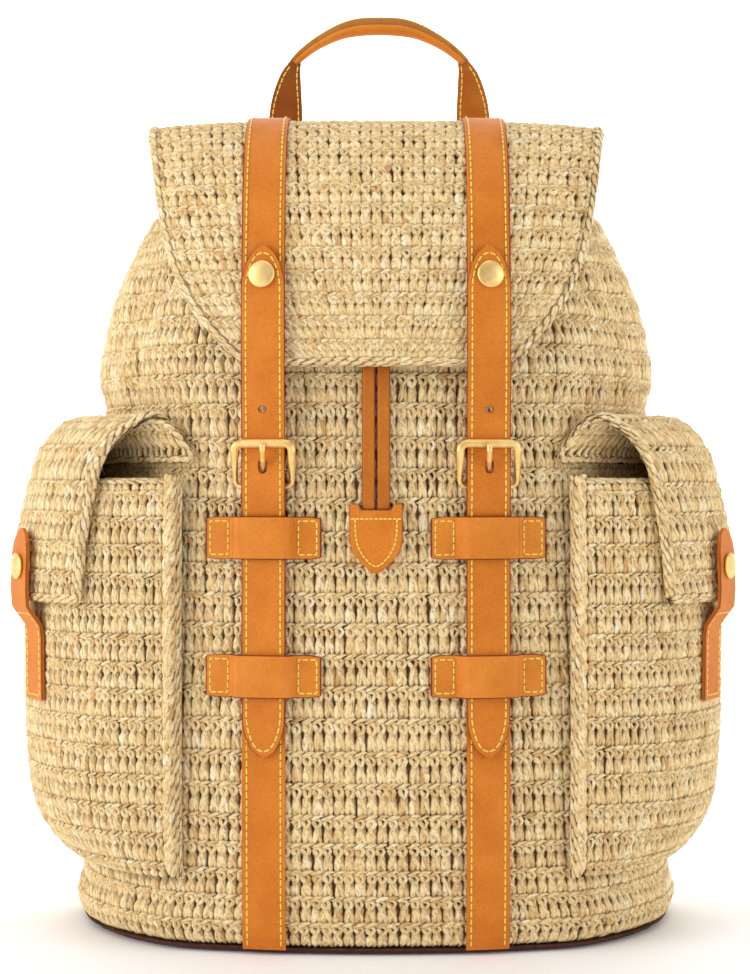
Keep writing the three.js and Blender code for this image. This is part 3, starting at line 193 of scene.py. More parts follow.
def besidePocket(sign, along, z, height):
    run = pocketPoint(sign, along + .01, z) - pocketPoint(sign, along - .01, z)
    out = unit(np.stack([run[..., 1], -run[..., 0], 0 * z], -1)) * sign
    return pocketPoint(sign, along, z) + out * height


def pocketFlapPoints(sign, shares):  # rows of points from the sewn foot over the arch to the free edge
    sunk = ease((shares - lapSink) / (1 - lapSink))
    foot = bodyStart + .004 + (bodyEnd - bodyStart - .008) * shares
    low = lapFoot + (lapFootBack - lapFoot) * sunk
    lift = (lapArch - lapFoot) * (1 - sunk) + lapSeat * sunk
    rim = besidePocket(sign, lapStart + (lapBack - lapStart) * shares, pocketRim + 0 * shares, lapSeat + .3)
    line = []
    for z in (low, low + wall * (1 - sunk / 2)):
        place = onBody(foot, z, seatGap + wall + 0 * foot)
        place[:, 0] *= sign
        line.append(place)
    for across, rise in archRows:
        place = line[1] + (rim - line[1]) * across
        flat = pocketRim - hemDrop  # no light shows between the hem and the pocket's rim
        place[:, 2] = low + rise * lift + (flat - low - rise * lift) * sunk
        line.append(place)
    for drop in (.16, .45, .72, 1):
        at = lapStart + lapSlant * drop
        level = pocketRim + (lapEnd - pocketRim) * drop + 0 * shares
        line.append(besidePocket(sign, at + (lapBack - at) * shares, level, lapSeat))
    return np.stack(line, 1)


def runOf(line):  # the distance along a line to each of its points
    return np.concatenate([[0], np.cumsum(np.linalg.norm(np.diff(line, axis=0), axis=1))])


def picked(line, length, at):  # a line's points, or the directions at them, at given distances
    return np.stack([np.interp(at, length, line[:, k]) for k in range(3)], -1)


def evenShares(line, shares, count):  # the shares at even steps of a line's length
    length = runOf(line)
    return np.interp(np.linspace(0, length[-1], count), length, shares)


def along(points, count):  # the same line of rows, evenly spread over its length
    step = np.linalg.norm(np.diff(points, axis=1), axis=2).mean(0)
    length = np.concatenate([[0], np.cumsum(step)])
    at = np.linspace(0, length[-1], count)
    return np.stack([picked(row, length, at) for row in points])


def gridNormals(grid):
    return unit(np.cross(np.gradient(grid, axis=0), np.gradient(grid, axis=1)))


def makeMesh(name, verts, faces, material, uvs=None, tones=None, smooth=True):
    mesh = bpy.data.meshes.new(name)
    mesh.vertices.add(len(verts))
    mesh.vertices.foreach_set("co", (np.asarray(verts) * mm).astype(np.float32).ravel())
    faces = np.asarray(faces, np.int32)
    mesh.loops.add(faces.size)
    mesh.loops.foreach_set("vertex_index", faces.ravel())
    mesh.polygons.add(len(faces))
    mesh.polygons.foreach_set("loop_start", np.arange(0, faces.size, faces.shape[1], dtype=np.int32))
    mesh.update(calc_edges=True)
    mesh.polygons.foreach_set("use_smooth", np.full(len(faces), smooth))
    if uvs is not None:
        layer = mesh.uv_layers.new(name="fibre")
        layer.data.foreach_set("uv", np.asarray(uvs, np.float32)[faces.ravel()].ravel())
    if tones is not None:
        layer = mesh.color_attributes.new("tone", "FLOAT_COLOR", "POINT")
        layer.data.foreach_set("color", np.asarray(tones, np.float32).ravel())
    mesh.materials.append(material)
    thing = bpy.data.objects.new(name, mesh)
    bpy.context.scene.collection.objects.link(thing)
    return thing


def put(piece, slot, *replaced):  # a finished piece of the visual: it rides the part's one body
    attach(piece, "root")
    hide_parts(*replaced)
    return piece


def linear(code):  # sRGB hex to linear colour
    parts = [int(code[i:i + 2], 16) / 255 for i in (1, 3, 5)]
    return [p / 12.92 if p <= .04045 else ((p + .055) / 1.055) ** 2.4 for p in parts] + [1]


def node(tree, kind, inputs=None, **settings):
    made = tree.nodes.new(kind)
    for key, value in settings.items():
        setattr(made, key, value)
    for key, value in (inputs or {}).items():
        if isinstance(value, bpy.types.NodeSocket):
            tree.links.new(value, made.inputs[key])
        else:
            made.inputs[key].default_value = value
    return made


def newMaterial(name):
    material = bpy.data.materials.new(name)
    material.use_nodes = True
    tree = material.node_tree
    return material, tree, tree.nodes["Principled BSDF"]


def ramp(tree, factor, stops):
    made = node(tree, "ShaderNodeValToRGB", {"Fac": factor})
    while len(made.color_ramp.elements) < len(stops):
        made.color_ramp.elements.new(1)
    for element, (place, code) in zip(made.color_ramp.elements, stops):
        element.position = place
        element.color = linear(code)
    return made.outputs["Color"]


# hooked raffia: flat folded leaf strands, matt, each with a random tone; painted shade turns their edges
# and low leaves dark brown, so the crowns look lighter
def rawRaffia():
    material, tree, shader = newMaterial("hooked natural raffia")
    tone = node(tree, "ShaderNodeVertexColor", layer_name="tone").outputs["Color"]
    parts = node(tree, "ShaderNodeSeparateColor", {"Color": tone})
    uv = node(tree, "ShaderNodeUVMap", uv_map="fibre").outputs["UV"]
    lines = node(tree, "ShaderNodeMapping", {"Vector": uv, "Scale": (6, .55, 1)})
    streak = node(tree, "ShaderNodeTexNoise", {"Vector": lines.outputs[0], "Scale": 1.0, "Detail": 3.0})
    broad = node(tree, "ShaderNodeMapping", {"Vector": uv, "Scale": (2.2, .35, 1)})
    fold = node(tree, "ShaderNodeTexNoise", {"Vector": broad.outputs[0], "Scale": 1.0, "Detail": 2.0})
    colour = ramp(tree, parts.outputs["Red"], [
        (0, "#D6A96A"), (.25, "#E9C68C"), (.5, "#F7DBA2"), (.8, "#FDE8B8"), (1, "#FFF1CE")])
    low = node(tree, "ShaderNodeMapRange", {"Value": streak.outputs["Fac"], "From Min": .36, "From Max": .5,
                                            "To Min": .6, "To Max": 0.0})
    toned = node(tree, "ShaderNodeMix", {0: low.outputs["Result"], 6: colour, 7: linear("#B07A38")},
                 data_type="RGBA", blend_type="MIX")
    # painted shade: the tone's second channel, low at strand edges and on low leaves, mixes in dark brown
    depth = node(tree, "ShaderNodeMapRange", {
        "Value": parts.outputs["Green"], "From Min": .12, "From Max": .84, "To Min": 1.0, "To Max": 0.0})
    paintedGapShade = depth.outputs["Result"]
    gapShadedColour = node(tree, "ShaderNodeMix", {0: paintedGapShade, 6: toned.outputs[2], 7: linear("#4C290B")},
                data_type="RGBA", blend_type="MIX")
    tree.links.new(gapShadedColour.outputs[2], shader.inputs["Base Color"])
    shader.inputs["Roughness"].default_value = .62
    shader.inputs["Specular IOR Level"].default_value = .3
    relief = node(tree, "ShaderNodeMath", {0: streak.outputs[0], 1: fold.outputs[0]}, operation="ADD")
    bump = node(tree, "ShaderNodeBump", {"Height": relief.outputs[0], "Strength": 1.0, "Distance": .0011})
    tree.links.new(bump.outputs["Normal"], shader.inputs["Normal"])
    return material


def cloudy(name, scale, detail, stops, rough, relief=(0, 0), metallic=0.0):
    # one noise gives the colour, the relief and, between two numbers, the roughness
    material, tree, shader = newMaterial(name)
    place = node(tree, "ShaderNodeTexCoord").outputs["Object"]
    noise = node(tree, "ShaderNodeTexNoise", {"Vector": place, "Scale": scale, "Detail": detail})
    cloud = noise.outputs["Fac"]
    tree.links.new(ramp(tree, cloud, stops), shader.inputs["Base Color"])
    shader.inputs["Metallic"].default_value = metallic
    if rough[0] == rough[1]:
        shader.inputs["Roughness"].default_value = rough[0]
    else:
        spread = node(tree, "ShaderNodeMapRange", {"Value": cloud, "To Min": rough[0], "To Max": rough[1]})
        tree.links.new(spread.outputs["Result"], shader.inputs["Roughness"])
    if relief[0]:
        bump = node(tree, "ShaderNodeBump", {"Height": cloud, "Strength": relief[0], "Distance": relief[1]})
        tree.links.new(bump.outputs["Normal"], shader.inputs["Normal"])
    return material


raffia = rawRaffia()
# the strands behind the stitches: raffia painted dark brown as the shade between the posts
ground = cloudy("raffia ground behind the stitches, painted dark as shade", 320.0, 4.0,
                [(.3, "#44260C"), (.55, "#70471C"), (.75, "#97703C")], (.8, .8), (.6, .0006))

# one post of double crochet and its chain: u across in stitches, v up in rows, half width and lift in mm
post = {
    "back leaf": [(.62, .03, 1.0, .8), (.67, .2, 1.9, 1.4), (.73, .4, 2.0, 1.5), (.73, .6, 1.6, 1.3),
                  (.70, .76, .9, .9)],
    "body leaf": [(.24, .02, .8, 1.1), (.34, .18, 2.1, 2.0), (.48, .37, 2.5, 2.35), (.47, .54, 1.8, 2.1),
                  (.34, .69, .8, 1.3)],
    "fold leaf": [(.34, .63, .6, 1.7), (.54, .48, 1.4, 2.5), (.76, .31, 1.8, 2.5), (.86, .14, 1.3, 1.9),
                  (.80, .02, .6, 1.1)],
    "hooked loop": [(.04, .84, .6, 1.5), (.30, .92, 1.05, 2.2), (.66, .92, 1.3, 2.5), (.87, .80, 1.4, 2.5),
                    (.70, .67, 1.3, 2.3), (.32, .53, .6, 1.5)],
    "knob leaf": [(.30, .94, .8, 1.4), (.20, .84, 1.55, 2.2), (.33, .72, 1.7, 2.3), (.55, .61, 1.2, 2.0),
                  (.69, .52, .6, 1.4)],
    "chain leaf": [(-.20, .925, .4, 1.7), (.15, .94, 1.2, 2.5), (.5, .995, 1.45, 2.7),
                   (.87, 1.04, 1.15, 2.5), (1.20, 1.035, .4, 1.8)],
}
mainLeaves = ("body leaf", "hooked loop", "chain leaf")
sunken = 2.2  # how far the strands' undersides lie below the surface
groundTop, groundUnder = 2.1, 2.5  # how far below it the two faces of the ground lie
section = np.array([(-1, .12), (-.62, .8), (.4, 1), (1, .12)])  # share of the half width, share of the lift


def strands(lines, sides, lifts, widths, unshadedLift=2.0):
    # lines: strands, stations, points; sides and lifts are the directions across and out at each of them;
    # a strand's colour carries painted shade, dark towards its edges and where its lift stays below the
    # last argument
    count, stations = lines.shape[:2]
    across = sides[:, :, None] * widths[:, :, None, :1] * section[None, None, :, :1]
    rise = lifts[:, :, None] * widths[:, :, None, 1:2] * section[None, None, :, 1:]
    verts = (lines[:, :, None] + across + rise).reshape(-1, 3)
    index = np.arange(count * stations * 4).reshape(count, stations, 4)
    a, b = index[:, :-1, :-1], index[:, :-1, 1:]
    c, d = index[:, 1:, 1:], index[:, 1:, :-1]
    faces = np.stack([a, b, c, d], -1).reshape(-1, 4)
    length = np.linalg.norm(np.diff(lines, axis=1), axis=2)
    run = np.concatenate([np.zeros((count, 1)), np.cumsum(length, axis=1)], 1)
    seed = rng.random(count)
    uvs = np.zeros((count, stations, 4, 2))
    uvs[..., 0] = np.linspace(0, 1, 4)[None, None] + seed[:, None, None] * 60
    uvs[..., 1] = run[:, :, None] * .6 + seed[:, None, None] * 400
    tones = np.ones((count, stations, 4, 4))
    tones[..., 0] = np.clip(rng.normal(.52, .17, count), 0, 1)[:, None, None]
    # painted shade: low at the strand's edges and on strands lifted less than the last argument
    tones[..., 1] = section[None, None, :, 1] * np.clip(widths[:, :, 1] / unshadedLift, .3, 1)[:, :, None]
    return verts, faces, uvs.reshape(-1, 2), tones.reshape(-1, 4)


def joined(parts):
    verts, faces, uvs, tones, start = [], [], [], [], 0
    for v, f, u, t in parts:
        verts.append(v)
        faces.append(f + start)
        uvs.append(u)
        tones.append(t)
        start += len(v)
    return np.concatenate(verts), np.concatenate(faces), np.concatenate(uvs), np.concatenate(tones)


def sampler(grid, normals, columns, rows):
    def look(field, u, v):
        x = np.clip(u / columns, 0, 1) * (field.shape[0] - 1)
        y = np.clip(v / rows, 0, 1) * (field.shape[1] - 1)
        i, j = np.minimum(x.astype(int), field.shape[0] - 2), np.minimum(y.astype(int), field.shape[1] - 2)
        s, t = (x - i)[..., None], (y - j)[..., None]
        low = field[i, j] * (1 - s) + field[i + 1, j] * s
        high = field[i, j + 1] * (1 - s) + field[i + 1, j + 1] * s
        return low * (1 - t) + high * t
    return lambda u, v: (look(grid, u, v), unit(look(normals, u, v)))


def stitches(grid, columns, rows, kept, names=tuple(post), plump=1.0):
    # grid covers columns x rows of stitches; kept(column, row) gives 0 for none of a stitch's leaves,
    # 1 for the main ones, made wider, and 2 for all
    normals = gridNormals(grid)
    look = sampler(grid, normals, columns, rows)
    every = np.array([(c, r, kept(c, r)) for r in range(rows) for c in range(columns) if kept(c, r)], float)
    every = np.column_stack([every, rng.normal(0, .08, len(every)), rng.normal(0, .05, (len(every), 2)),
                             rng.normal(plump, .11, len(every))])
    parts = []
    for name in names:
        base = np.array(post[name])
        cells = every if name in mainLeaves else every[every[:, 2] > 1]
        count, lean, shift, swell = len(cells), cells[:, 3:4], cells[:, 4:6], cells[:, 6:7]
        if count == 0:
            continue
        u = base[None, :, 0] + shift[:, :1] + rng.normal(0, .035, (count, len(base)))
        v = base[None, :, 1] + rng.normal(0, .012, (count, len(base)))
        if name != "chain leaf":
            u = u + lean * (v - .5)
            v = v + shift[:, 1:] * .3
        u = cells[:, :1] + u
        v = cells[:, 1:2] + v
        place, out = look(u, v)
        ahead = np.gradient(place, axis=1)
        side = unit(np.cross(out, ahead))
        spare = np.where(cells[:, 2:3] > 1, 1, 1.25)
        width = base[None, :, 2] * swell * spare * (1 + rng.normal(0, .08, (count, len(base))))
        lift = base[None, :, 3] * (1 + rng.normal(0, .07, (count, len(base))))
        parts.append(strands(place - out * sunken, -side, out, np.stack([width, lift], -1)))
    return joined(parts)


def backing(name, grid, outer, inner, closed):
    normals = gridNormals(grid)
    nu, nv = grid.shape[:2]
    layers = np.concatenate([grid - normals * outer, grid - normals * inner])
    index = np.arange(2 * nu * nv).reshape(2, nu, nv)
    quads = []
    for layer, turn in ((0, 1), (1, -1)):
        a, b = index[layer, :-1, :-1], index[layer, 1:, :-1]
        c, d = index[layer, 1:, 1:], index[layer, :-1, 1:]
        quads.append(np.stack([a, b, c, d][::turn], -1).reshape(-1, 4))
    every = slice(None)
    rims = ((every, -1), (every, 0)) + (() if closed else ((0, every), (-1, every)))
    for rim in rims:
        top, under = index[0][rim], index[1][rim]
        quads.append(np.stack([top[:-1], top[1:], under[1:], under[:-1]], -1))
    return makeMesh(name, layers.reshape(-1, 3), np.concatenate(quads), ground)


# the body: 27 rows between the heights where the photo's chains lie
rowHeights = [2.8, 15.3, 28.4, 41.2, 54.7, 68.5, 84, 99.6, 115.8, 131.6, 147.2, 162.3, 177.2, 191.8, 207.1,
              223.5, 238.1, 253.6, 270.3, 285.1, 300, 315, 330, 345, 359.5, 373, 385.5, 397]
bodyStitches = 154
bodyRowCount = len(rowHeights) - 1


def bodyTurns(count):  # shares of the way round at even steps of its length half way up
    shares = np.linspace(-1, 1, 2001)
    return evenShares(bodyPoint(shares, 180 + 0 * shares), shares, count + 1)


def bodyGrid(uPer, vPer):
    turns = bodyTurns(bodyStitches * uPer)
    steps = np.linspace(0, bodyRowCount, bodyRowCount * vPer + 1)
    levels = np.interp(steps, np.arange(bodyRowCount + 1), rowHeights)
    turn, z = np.meshgrid(turns, levels, indexing="ij")
    return wovenBody(turn, z)


stitchTurns = bodyTurns(bodyStitches)


def bodyCell(column, row):  # the middle of a stitch: share round, height
    return (stitchTurns[column] + stitchTurns[column + 1]) / 2, (rowHeights[row] + rowHeights[row + 1]) / 2


hidden = ((.27, .6, 44, 228), (-1, .2, 312, 400))  # under pockets and flap: round from, to; up from, to


def isHidden(turn, z):
    return any(start < abs(turn) < end and low < z < high for start, end, low, high in hidden)


frontEnd, sideEnd, fullEnd = .2, .66, .46  # shares round; beyond the last only the main leaves are made
bodyZones = {
    "body_front": lambda turn: abs(turn) < frontEnd,
    "body_left": lambda turn: -sideEnd < turn <= -frontEnd,
    "body_right": lambda turn: frontEnd <= turn < sideEnd,
    "body_back": lambda turn: abs(turn) >= sideEnd,
}
fine = bodyGrid(3, 4)
for zone, inZone in bodyZones.items():
    def kept(column, row, inZone=inZone):
        turn, z = bodyCell(column, row)
        if not inZone(turn) or isHidden(turn, z):
            return 0
        return 1 if abs(turn) > fullEnd else 2
    verts, faces, uvs, tones = stitches(fine, bodyStitches, bodyRowCount, kept, plump=1.07)
    put(makeMesh(zone + "_weave", verts, faces, raffia, uvs, tones), "straw", "body_shell")
    print(zone, len(faces) * 2)
shell = backing("body_ground", bodyGrid(1, 2), groundTop, wall, True)
floorShare = .985  # the floor ends inside the wall
bottom = wovenBody(bodyTurns(bodyStitches), bodyFloor + wall + 0 * bodyTurns(bodyStitches))
for k, (name, level) in enumerate((("body_floor_top", bodyFloor + wall), ("body_floor_under", bodyFloor))):
    ring = bottom[:-1] * (floorShare, floorShare, 0) + (0, 0, level)
    centre = np.array([[0, 0, level]])
    verts = np.concatenate([ring, centre])
    index = np.arange(len(ring))
    faces = np.stack([index, np.roll(index, -1), np.full(len(ring), len(ring))], -1)
    if k == 1:
        faces = faces[:, ::-1]
    put(makeMesh(name, verts, faces, ground), "straw", "body_shell")
put(shell, "straw", "body_shell")


braidRows = {  # angles at which the leaves start, radius, pitch, half width, lift
    "flap edge": ((105, 55, 5), 1.9, 6.2, 1.7, 1.2),
    "pocket rim": ((90, 45, 0, -45, -90), 1.3, 5.4, 1.15, .9),
    "pocket seam": ((150, 115, 80, 45, 10), 2.4, 6.4, 2.0, 1.3),
    "pocket edge": ((75, 25, -25), 1.4, 6.8, 1.3, 1.0),
    "pocket flap edge": ((105, 55, 5, -50), 1.9, 6.2, 1.7, 1.2),
}
leafForm = np.array([(.3, .35), (.75, .8), (1, 1), (1, 1), (.75, .85), (.3, .4)])  # shares of width, lift
leafTurn = 34  # degrees that a leaf turns round the line along its length


def braid(kind, line, edge, face):
    # leaves wound round a line: edge points away from the piece, face out of its front
    angles, radius, pitch, width, lift = braidRows[kind]
    length = runOf(line)
    count = max(2, int(round(length[-1] / pitch)))
    parts = []
    for k, angle in enumerate(angles):
        start = (np.arange(count) + k / len(angles)) / count * length[-1]
        share = np.linspace(-.12, 1.16, 6)
        at = np.clip(start[:, None] + share[None] * length[-1] / count, 0, length[-1])
        drift = (share - .5) * leafTurn + angle + rng.normal(0, 4, (count, 1))
        turn = np.radians(drift)[..., None]
        out = unit(picked(edge, length, at) * np.cos(turn) + picked(face, length, at) * np.sin(turn))
        place = picked(line, length, at) + out * radius
        ahead = np.gradient(place, axis=1)
        side = unit(np.cross(ahead, out))
        size = (leafForm * (width, lift))[None] * rng.normal(1, .1, (count, 1, 1))
        parts.append(strands(place, side, out, size, lift * .8))
    return joined(parts)


def addWeave(name, parts, *replaced):
    verts, faces, uvs, tones = joined(parts)
    put(makeMesh(name, verts, faces, raffia, uvs, tones), "straw", *replaced)
    print(name, len(faces) * 2)


# the flap: rows run across, from its front edge up over the bag
flapStitches, flapRowCount, flapFullRows = 43, 26, 17  # rows above the last have only the main leaves
seenRows, seenColumns = (3, 23), 6  # the strips of the flap's underside that show from the sides


def flapGrid(uCount, vCount):
    alongs, acrosses = np.linspace(0, 1, 400), np.linspace(-1, 1, uCount)
    rows = evenShares(flapPoint(alongs, 0 * alongs), alongs, vCount)
    across, share = np.meshgrid(acrosses, rows, indexing="ij")
    return flapPoint(share, across)


flapFine = flapGrid(flapStitches * 3 + 1, flapRowCount * 4 + 1)
flapWeave = stitches(flapFine, flapStitches, flapRowCount, lambda c, r: 2 if r < flapFullRows else 1,
                     plump=1.17)
flapNormals = gridNormals(flapFine)


def border(grid, normals):  # the grid's outline as a closed line with its two directions
    sides = [(grid[:, 0], normals[:, 0], grid[:, 0] - grid[:, 1]),
             (grid[-1, 1:], normals[-1, 1:], grid[-1, 1:] - grid[-2, 1:]),
             (grid[-2::-1, -1], normals[-2::-1, -1], grid[-2::-1, -1] - grid[-2::-1, -2]),
             (grid[0, -2:0:-1], normals[0, -2:0:-1], grid[0, -2:0:-1] - grid[1, -2:0:-1])]
    return [np.concatenate([s[k] for s in sides]) for k in range(3)]


edgeLine, edgeFace, edgeOut = border(flapFine, flapNormals)
edgeOut = unit(edgeOut)
flapEdge = braid("flap edge", edgeLine - edgeFace * 1.6 - edgeOut * 2.0, edgeOut, edgeFace)
addWeave("flap_weave", [flapWeave, flapEdge], "flap")


def seenBelow(column, row):
    inward = min(column, flapStitches - 1 - column)
    return 1 if seenRows[0] < row < seenRows[1] and inward < seenColumns else 0


under = stitches((flapFine - flapNormals * (wall - .5))[::-1], flapStitches, flapRowCount, seenBelow,
                 ("body leaf", "hooked loop"))
addWeave("flap_under_weave", [under], "flap")
put(backing("flap_ground", flapGrid(flapStitches + 1, flapRowCount + 1), groundTop, groundUnder, False),
    "straw", "flap")

# the pockets: rows run round them, with a front seam and a rim
pocketStitches, pocketRowCount = 46, 14
seamColumns, fullColumns = 2, 30  # none under the front seam's braid, only the main leaves at the back
pocketLevels = [37, 44, 58.5, 72.5, 87.5, 101.5, 115.5, 129.5, 143, 156.5, 171, 186.5, 201, 214.5, 227.5]
pocketSteps = np.linspace(0, pocketRowCount, pocketRowCount * 4 + 1)
pocketHeights = np.interp(pocketSteps, np.arange(pocketRowCount + 1), pocketLevels)


def pocketGrid(sign, uCount, heights):
    shares = np.linspace(0, 1, 400)
    spread = evenShares(pocketPoint(sign, shares, 130 + 0 * shares), shares, uCount)
    share, z = np.meshgrid(spread, heights, indexing="ij")
    grid = pocketPoint(sign, share, z)
    return grid if sign > 0 else grid[::-1]


for sign, word in bothSides:
    grid = pocketGrid(sign, pocketStitches * 3 + 1, pocketHeights)

    def kept(column, row):
        ahead = column if sign > 0 else pocketStitches - 1 - column
        return 0 if ahead < seamColumns else 2 if ahead < fullColumns else 1

    weave = stitches(grid, pocketStitches, pocketRowCount, kept)
    tall = pocketGrid(sign, pocketStitches * 3 + 1, np.linspace(pocketFloor, pocketRim, 80))
    normals = gridNormals(tall)
    rim = tall[:, -1] - normals[:, -1] * 2.2 - (0, 0, 2.4)
    upward = np.tile((0, 0, 1.0), (len(rim), 1))
    rimBraid = braid("pocket rim", rim, upward, normals[:, -1])
    collar = pocketGrid(sign, pocketStitches * 3 + 1, np.linspace(227.5, 234.5, 5))
    half = stitches(collar, pocketStitches, 1, kept, ("body leaf", "fold leaf", "back leaf"))
    edgeAt, columnAt = (0, 4) if sign > 0 else (-1, -5)
    inward = unit(tall[columnAt] - tall[edgeAt])
    seamLine = tall[columnAt] - normals[columnAt] * 1.7
    seamBraid = braid("pocket seam", seamLine, inward, normals[columnAt])
    cornerLine = tall[edgeAt] - normals[edgeAt] * 1.8 + inward * .6
    corner = braid("pocket edge", cornerLine, normals[edgeAt], -inward)
    addWeave("pocket_" + word + "_weave", [weave, half, rimBraid, seamBraid, corner], "pocket_" + word)
    inside = pocketGrid(sign, pocketStitches + 1, np.linspace(pocketFloor, pocketRim - 1.5, 40))
    put(backing("pocket_" + word + "_ground", inside, groundTop, wall, False), "straw", "pocket_" + word)

# the pockets' flaps: rows run along the bag's side, upright stitches on the hanging part
flapAcross, flapDown, foldRow = 34, 8, 3  # rows above the last arch over, and show their underside
for sign, word in bothSides:

    def lapGrid(uCount, vCount):
        rows = along(pocketFlapPoints(sign, np.linspace(0, 1, uCount)), vCount)
        rows = rows[:, ::-1]
        grid = rows if sign > 0 else rows[::-1]
        return grid + gridNormals(grid) * wall

    grid = lapGrid(flapAcross * 3 + 1, flapDown * 5 + 1)
    normals = gridNormals(grid)
    weave = stitches(grid, flapAcross, flapDown, lambda c, r: 2, plump=1.05)
    under = stitches((grid - normals * (wall - .2))[::-1], flapAcross, flapDown,
                     lambda c, r: 1 if r > foldRow else 0)
    line, face, out = border(grid, normals)
    edge = braid("pocket flap edge", line - face * 1.8 - unit(out) * 2.0, unit(out), face)
    addWeave("pocket_flap_" + word + "_weave", [weave, under, edge], "pocket_flap_" + word)
    inside = lapGrid(flapAcross + 1, flapDown * 3 + 1)
    put(backing("pocket_flap_" + word + "_ground", inside, groundTop, groundUnder, False),
        "straw", "pocket_flap_" + word)
print("weave done")


# vegetable-tanned leather: warm orange, fine pores, a soft sheen; its cut edges are painted dark red
def tannedLeather(finish, axes, colour="#CC7012", lit="#DA8020", threshold=.42):
    material, tree, shader = newMaterial("vegetable-tanned leather, " + finish)
    geometry = node(tree, "ShaderNodeNewGeometry")
    split = node(tree, "ShaderNodeSeparateXYZ", {"Vector": geometry.outputs["Normal"]})
    turned = [node(tree, "ShaderNodeMath", {0: split.outputs[k]}, operation="ABSOLUTE").outputs[0]
              for k in axes]
    side = turned[0]
    for other in turned[1:]:
        side = node(tree, "ShaderNodeMath", {0: side, 1: other}, operation="MAXIMUM").outputs[0]
    paint = node(tree, "ShaderNodeMapRange", {
        "Value": side, "From Min": threshold, "From Max": threshold + .25})
    place = node(tree, "ShaderNodeTexCoord").outputs["Object"]
    cloud = node(tree, "ShaderNodeTexNoise", {"Vector": place, "Scale": 55.0, "Detail": 3.0})
    pores = node(tree, "ShaderNodeTexVoronoi", {"Vector": place, "Scale": 1500.0})
    grain = node(tree, "ShaderNodeTexNoise", {"Vector": place, "Scale": 900.0, "Detail": 3.0})
    dye = ramp(tree, cloud.outputs["Fac"], [(.3, colour), (.7, lit)])
    pits = ramp(tree, grain.outputs["Fac"], [(.35, "#B9B0A6"), (.6, "#FFFFFF")])
    mottled = node(tree, "ShaderNodeMix", {0: .25, 6: dye, 7: pits},
                   data_type="RGBA", blend_type="MULTIPLY")
    painted = paint.outputs["Result"]
    edged = node(tree, "ShaderNodeMix", {0: painted, 6: mottled.outputs[2], 7: linear("#7E1F0C")},
                 data_type="RGBA", blend_type="MIX")
    tree.links.new(edged.outputs[2], shader.inputs["Base Color"])
    shader.inputs["Roughness"].default_value = .55
    shader.inputs["Specular IOR Level"].default_value = .3
    relief = node(tree, "ShaderNodeMath", {0: grain.outputs["Fac"], 1: pores.outputs["Distance"]},
                  operation="ADD")
    bump = node(tree, "ShaderNodeBump", {"Height": relief.outputs[0], "Strength": .25, "Distance": .0002})
    tree.links.new(bump.outputs["Normal"], shader.inputs["Normal"])
    return material


keeperMiddle, paintStart, paintFull = .0553, .0276, .0282  # metres; the paint on the ends, from the middle


def keeperLeather(finish):  # as the straps, with paint on the top and bottom edges and on both ends
    material = tannedLeather(finish, "Z", "#D0781A", "#E0882C", .32)
    tree = material.node_tree
    place = node(tree, "ShaderNodeTexCoord").outputs["Object"]
    split = node(tree, "ShaderNodeSeparateXYZ", {"Vector": place})
    side = node(tree, "ShaderNodeMath", {0: split.outputs["X"]}, operation="ABSOLUTE").outputs[0]
    away = node(tree, "ShaderNodeMath", {0: side, 1: keeperMiddle}, operation="SUBTRACT").outputs[0]
    away = node(tree, "ShaderNodeMath", {0: away}, operation="ABSOLUTE").outputs[0]
    ends = node(tree, "ShaderNodeMapRange", {
        "Value": away, "From Min": paintStart, "From Max": paintFull})
    mixed = next(n for n in tree.nodes if n.type == "MIX" and n.blend_type == "MIX")
    paint = mixed.inputs[0].links[0].from_socket
    both = node(tree, "ShaderNodeMath", {0: paint, 1: ends.outputs["Result"]}, operation="MAXIMUM")
    tree.links.new(both.outputs[0], mixed.inputs[0])
    return material


def dress(name, material, bevel=.0005, turns=2, soften=0):
    thing = nodes[name]
    for place in range(len(thing.data.materials)):
        thing.material_slots[place].link = "OBJECT"
        thing.material_slots[place].material = material
    thing.modifiers.new("closed corners", "WELD").merge_threshold = .00001
    rounded = thing.modifiers.new("rounded edges", "BEVEL")
    rounded.width = bevel
    rounded.segments = turns
    rounded.limit_method = "ANGLE"
    rounded.angle_limit = math.radians(38)
    rounded.harden_normals = soften == 0
    if soften:  # bends without facets
        bends = thing.modifiers.new("even bends", "SUBSURF")
        bends.levels = bends.render_levels = soften


strapLeather = tannedLeather("painted sides", "X", threshold=.3)
bandLeather = tannedLeather("cut shoulder straps", "X", threshold=.82)
keeperTone = keeperLeather("painted keeper edges")
tabLeather = tannedLeather("painted tab edges", "YZ", threshold=.75)
shieldLeather = tannedLeather("moulded", "XZ", threshold=.6)
# painted shade: the handle's legs are darker copies of the strap leather, the left one darkest
legShades = {"left": tannedLeather("darkened by hands", "X", "#844208", "#98540F"),
            "right": tannedLeather("lightly worn", "X", "#A85C12", "#BC6E1E")}
rollLeather = tannedLeather("rolled", "X", "#D07614", "#DE8826", 2)
# painted shade: the grip's band is a darker copy of the rolled leather
shadedBandLeather = tannedLeather("folded band", "X", "#A0601E", "#B4742C", 2)
# cast and polished brass: warm yellow metal with a soft uneven polish
metal = cloudy("cast brass", 260.0, 3.0, [(.3, "#F0C878"), (.7, "#FBDC9A")], (.42, .52), (.15, .0003), 1.0)
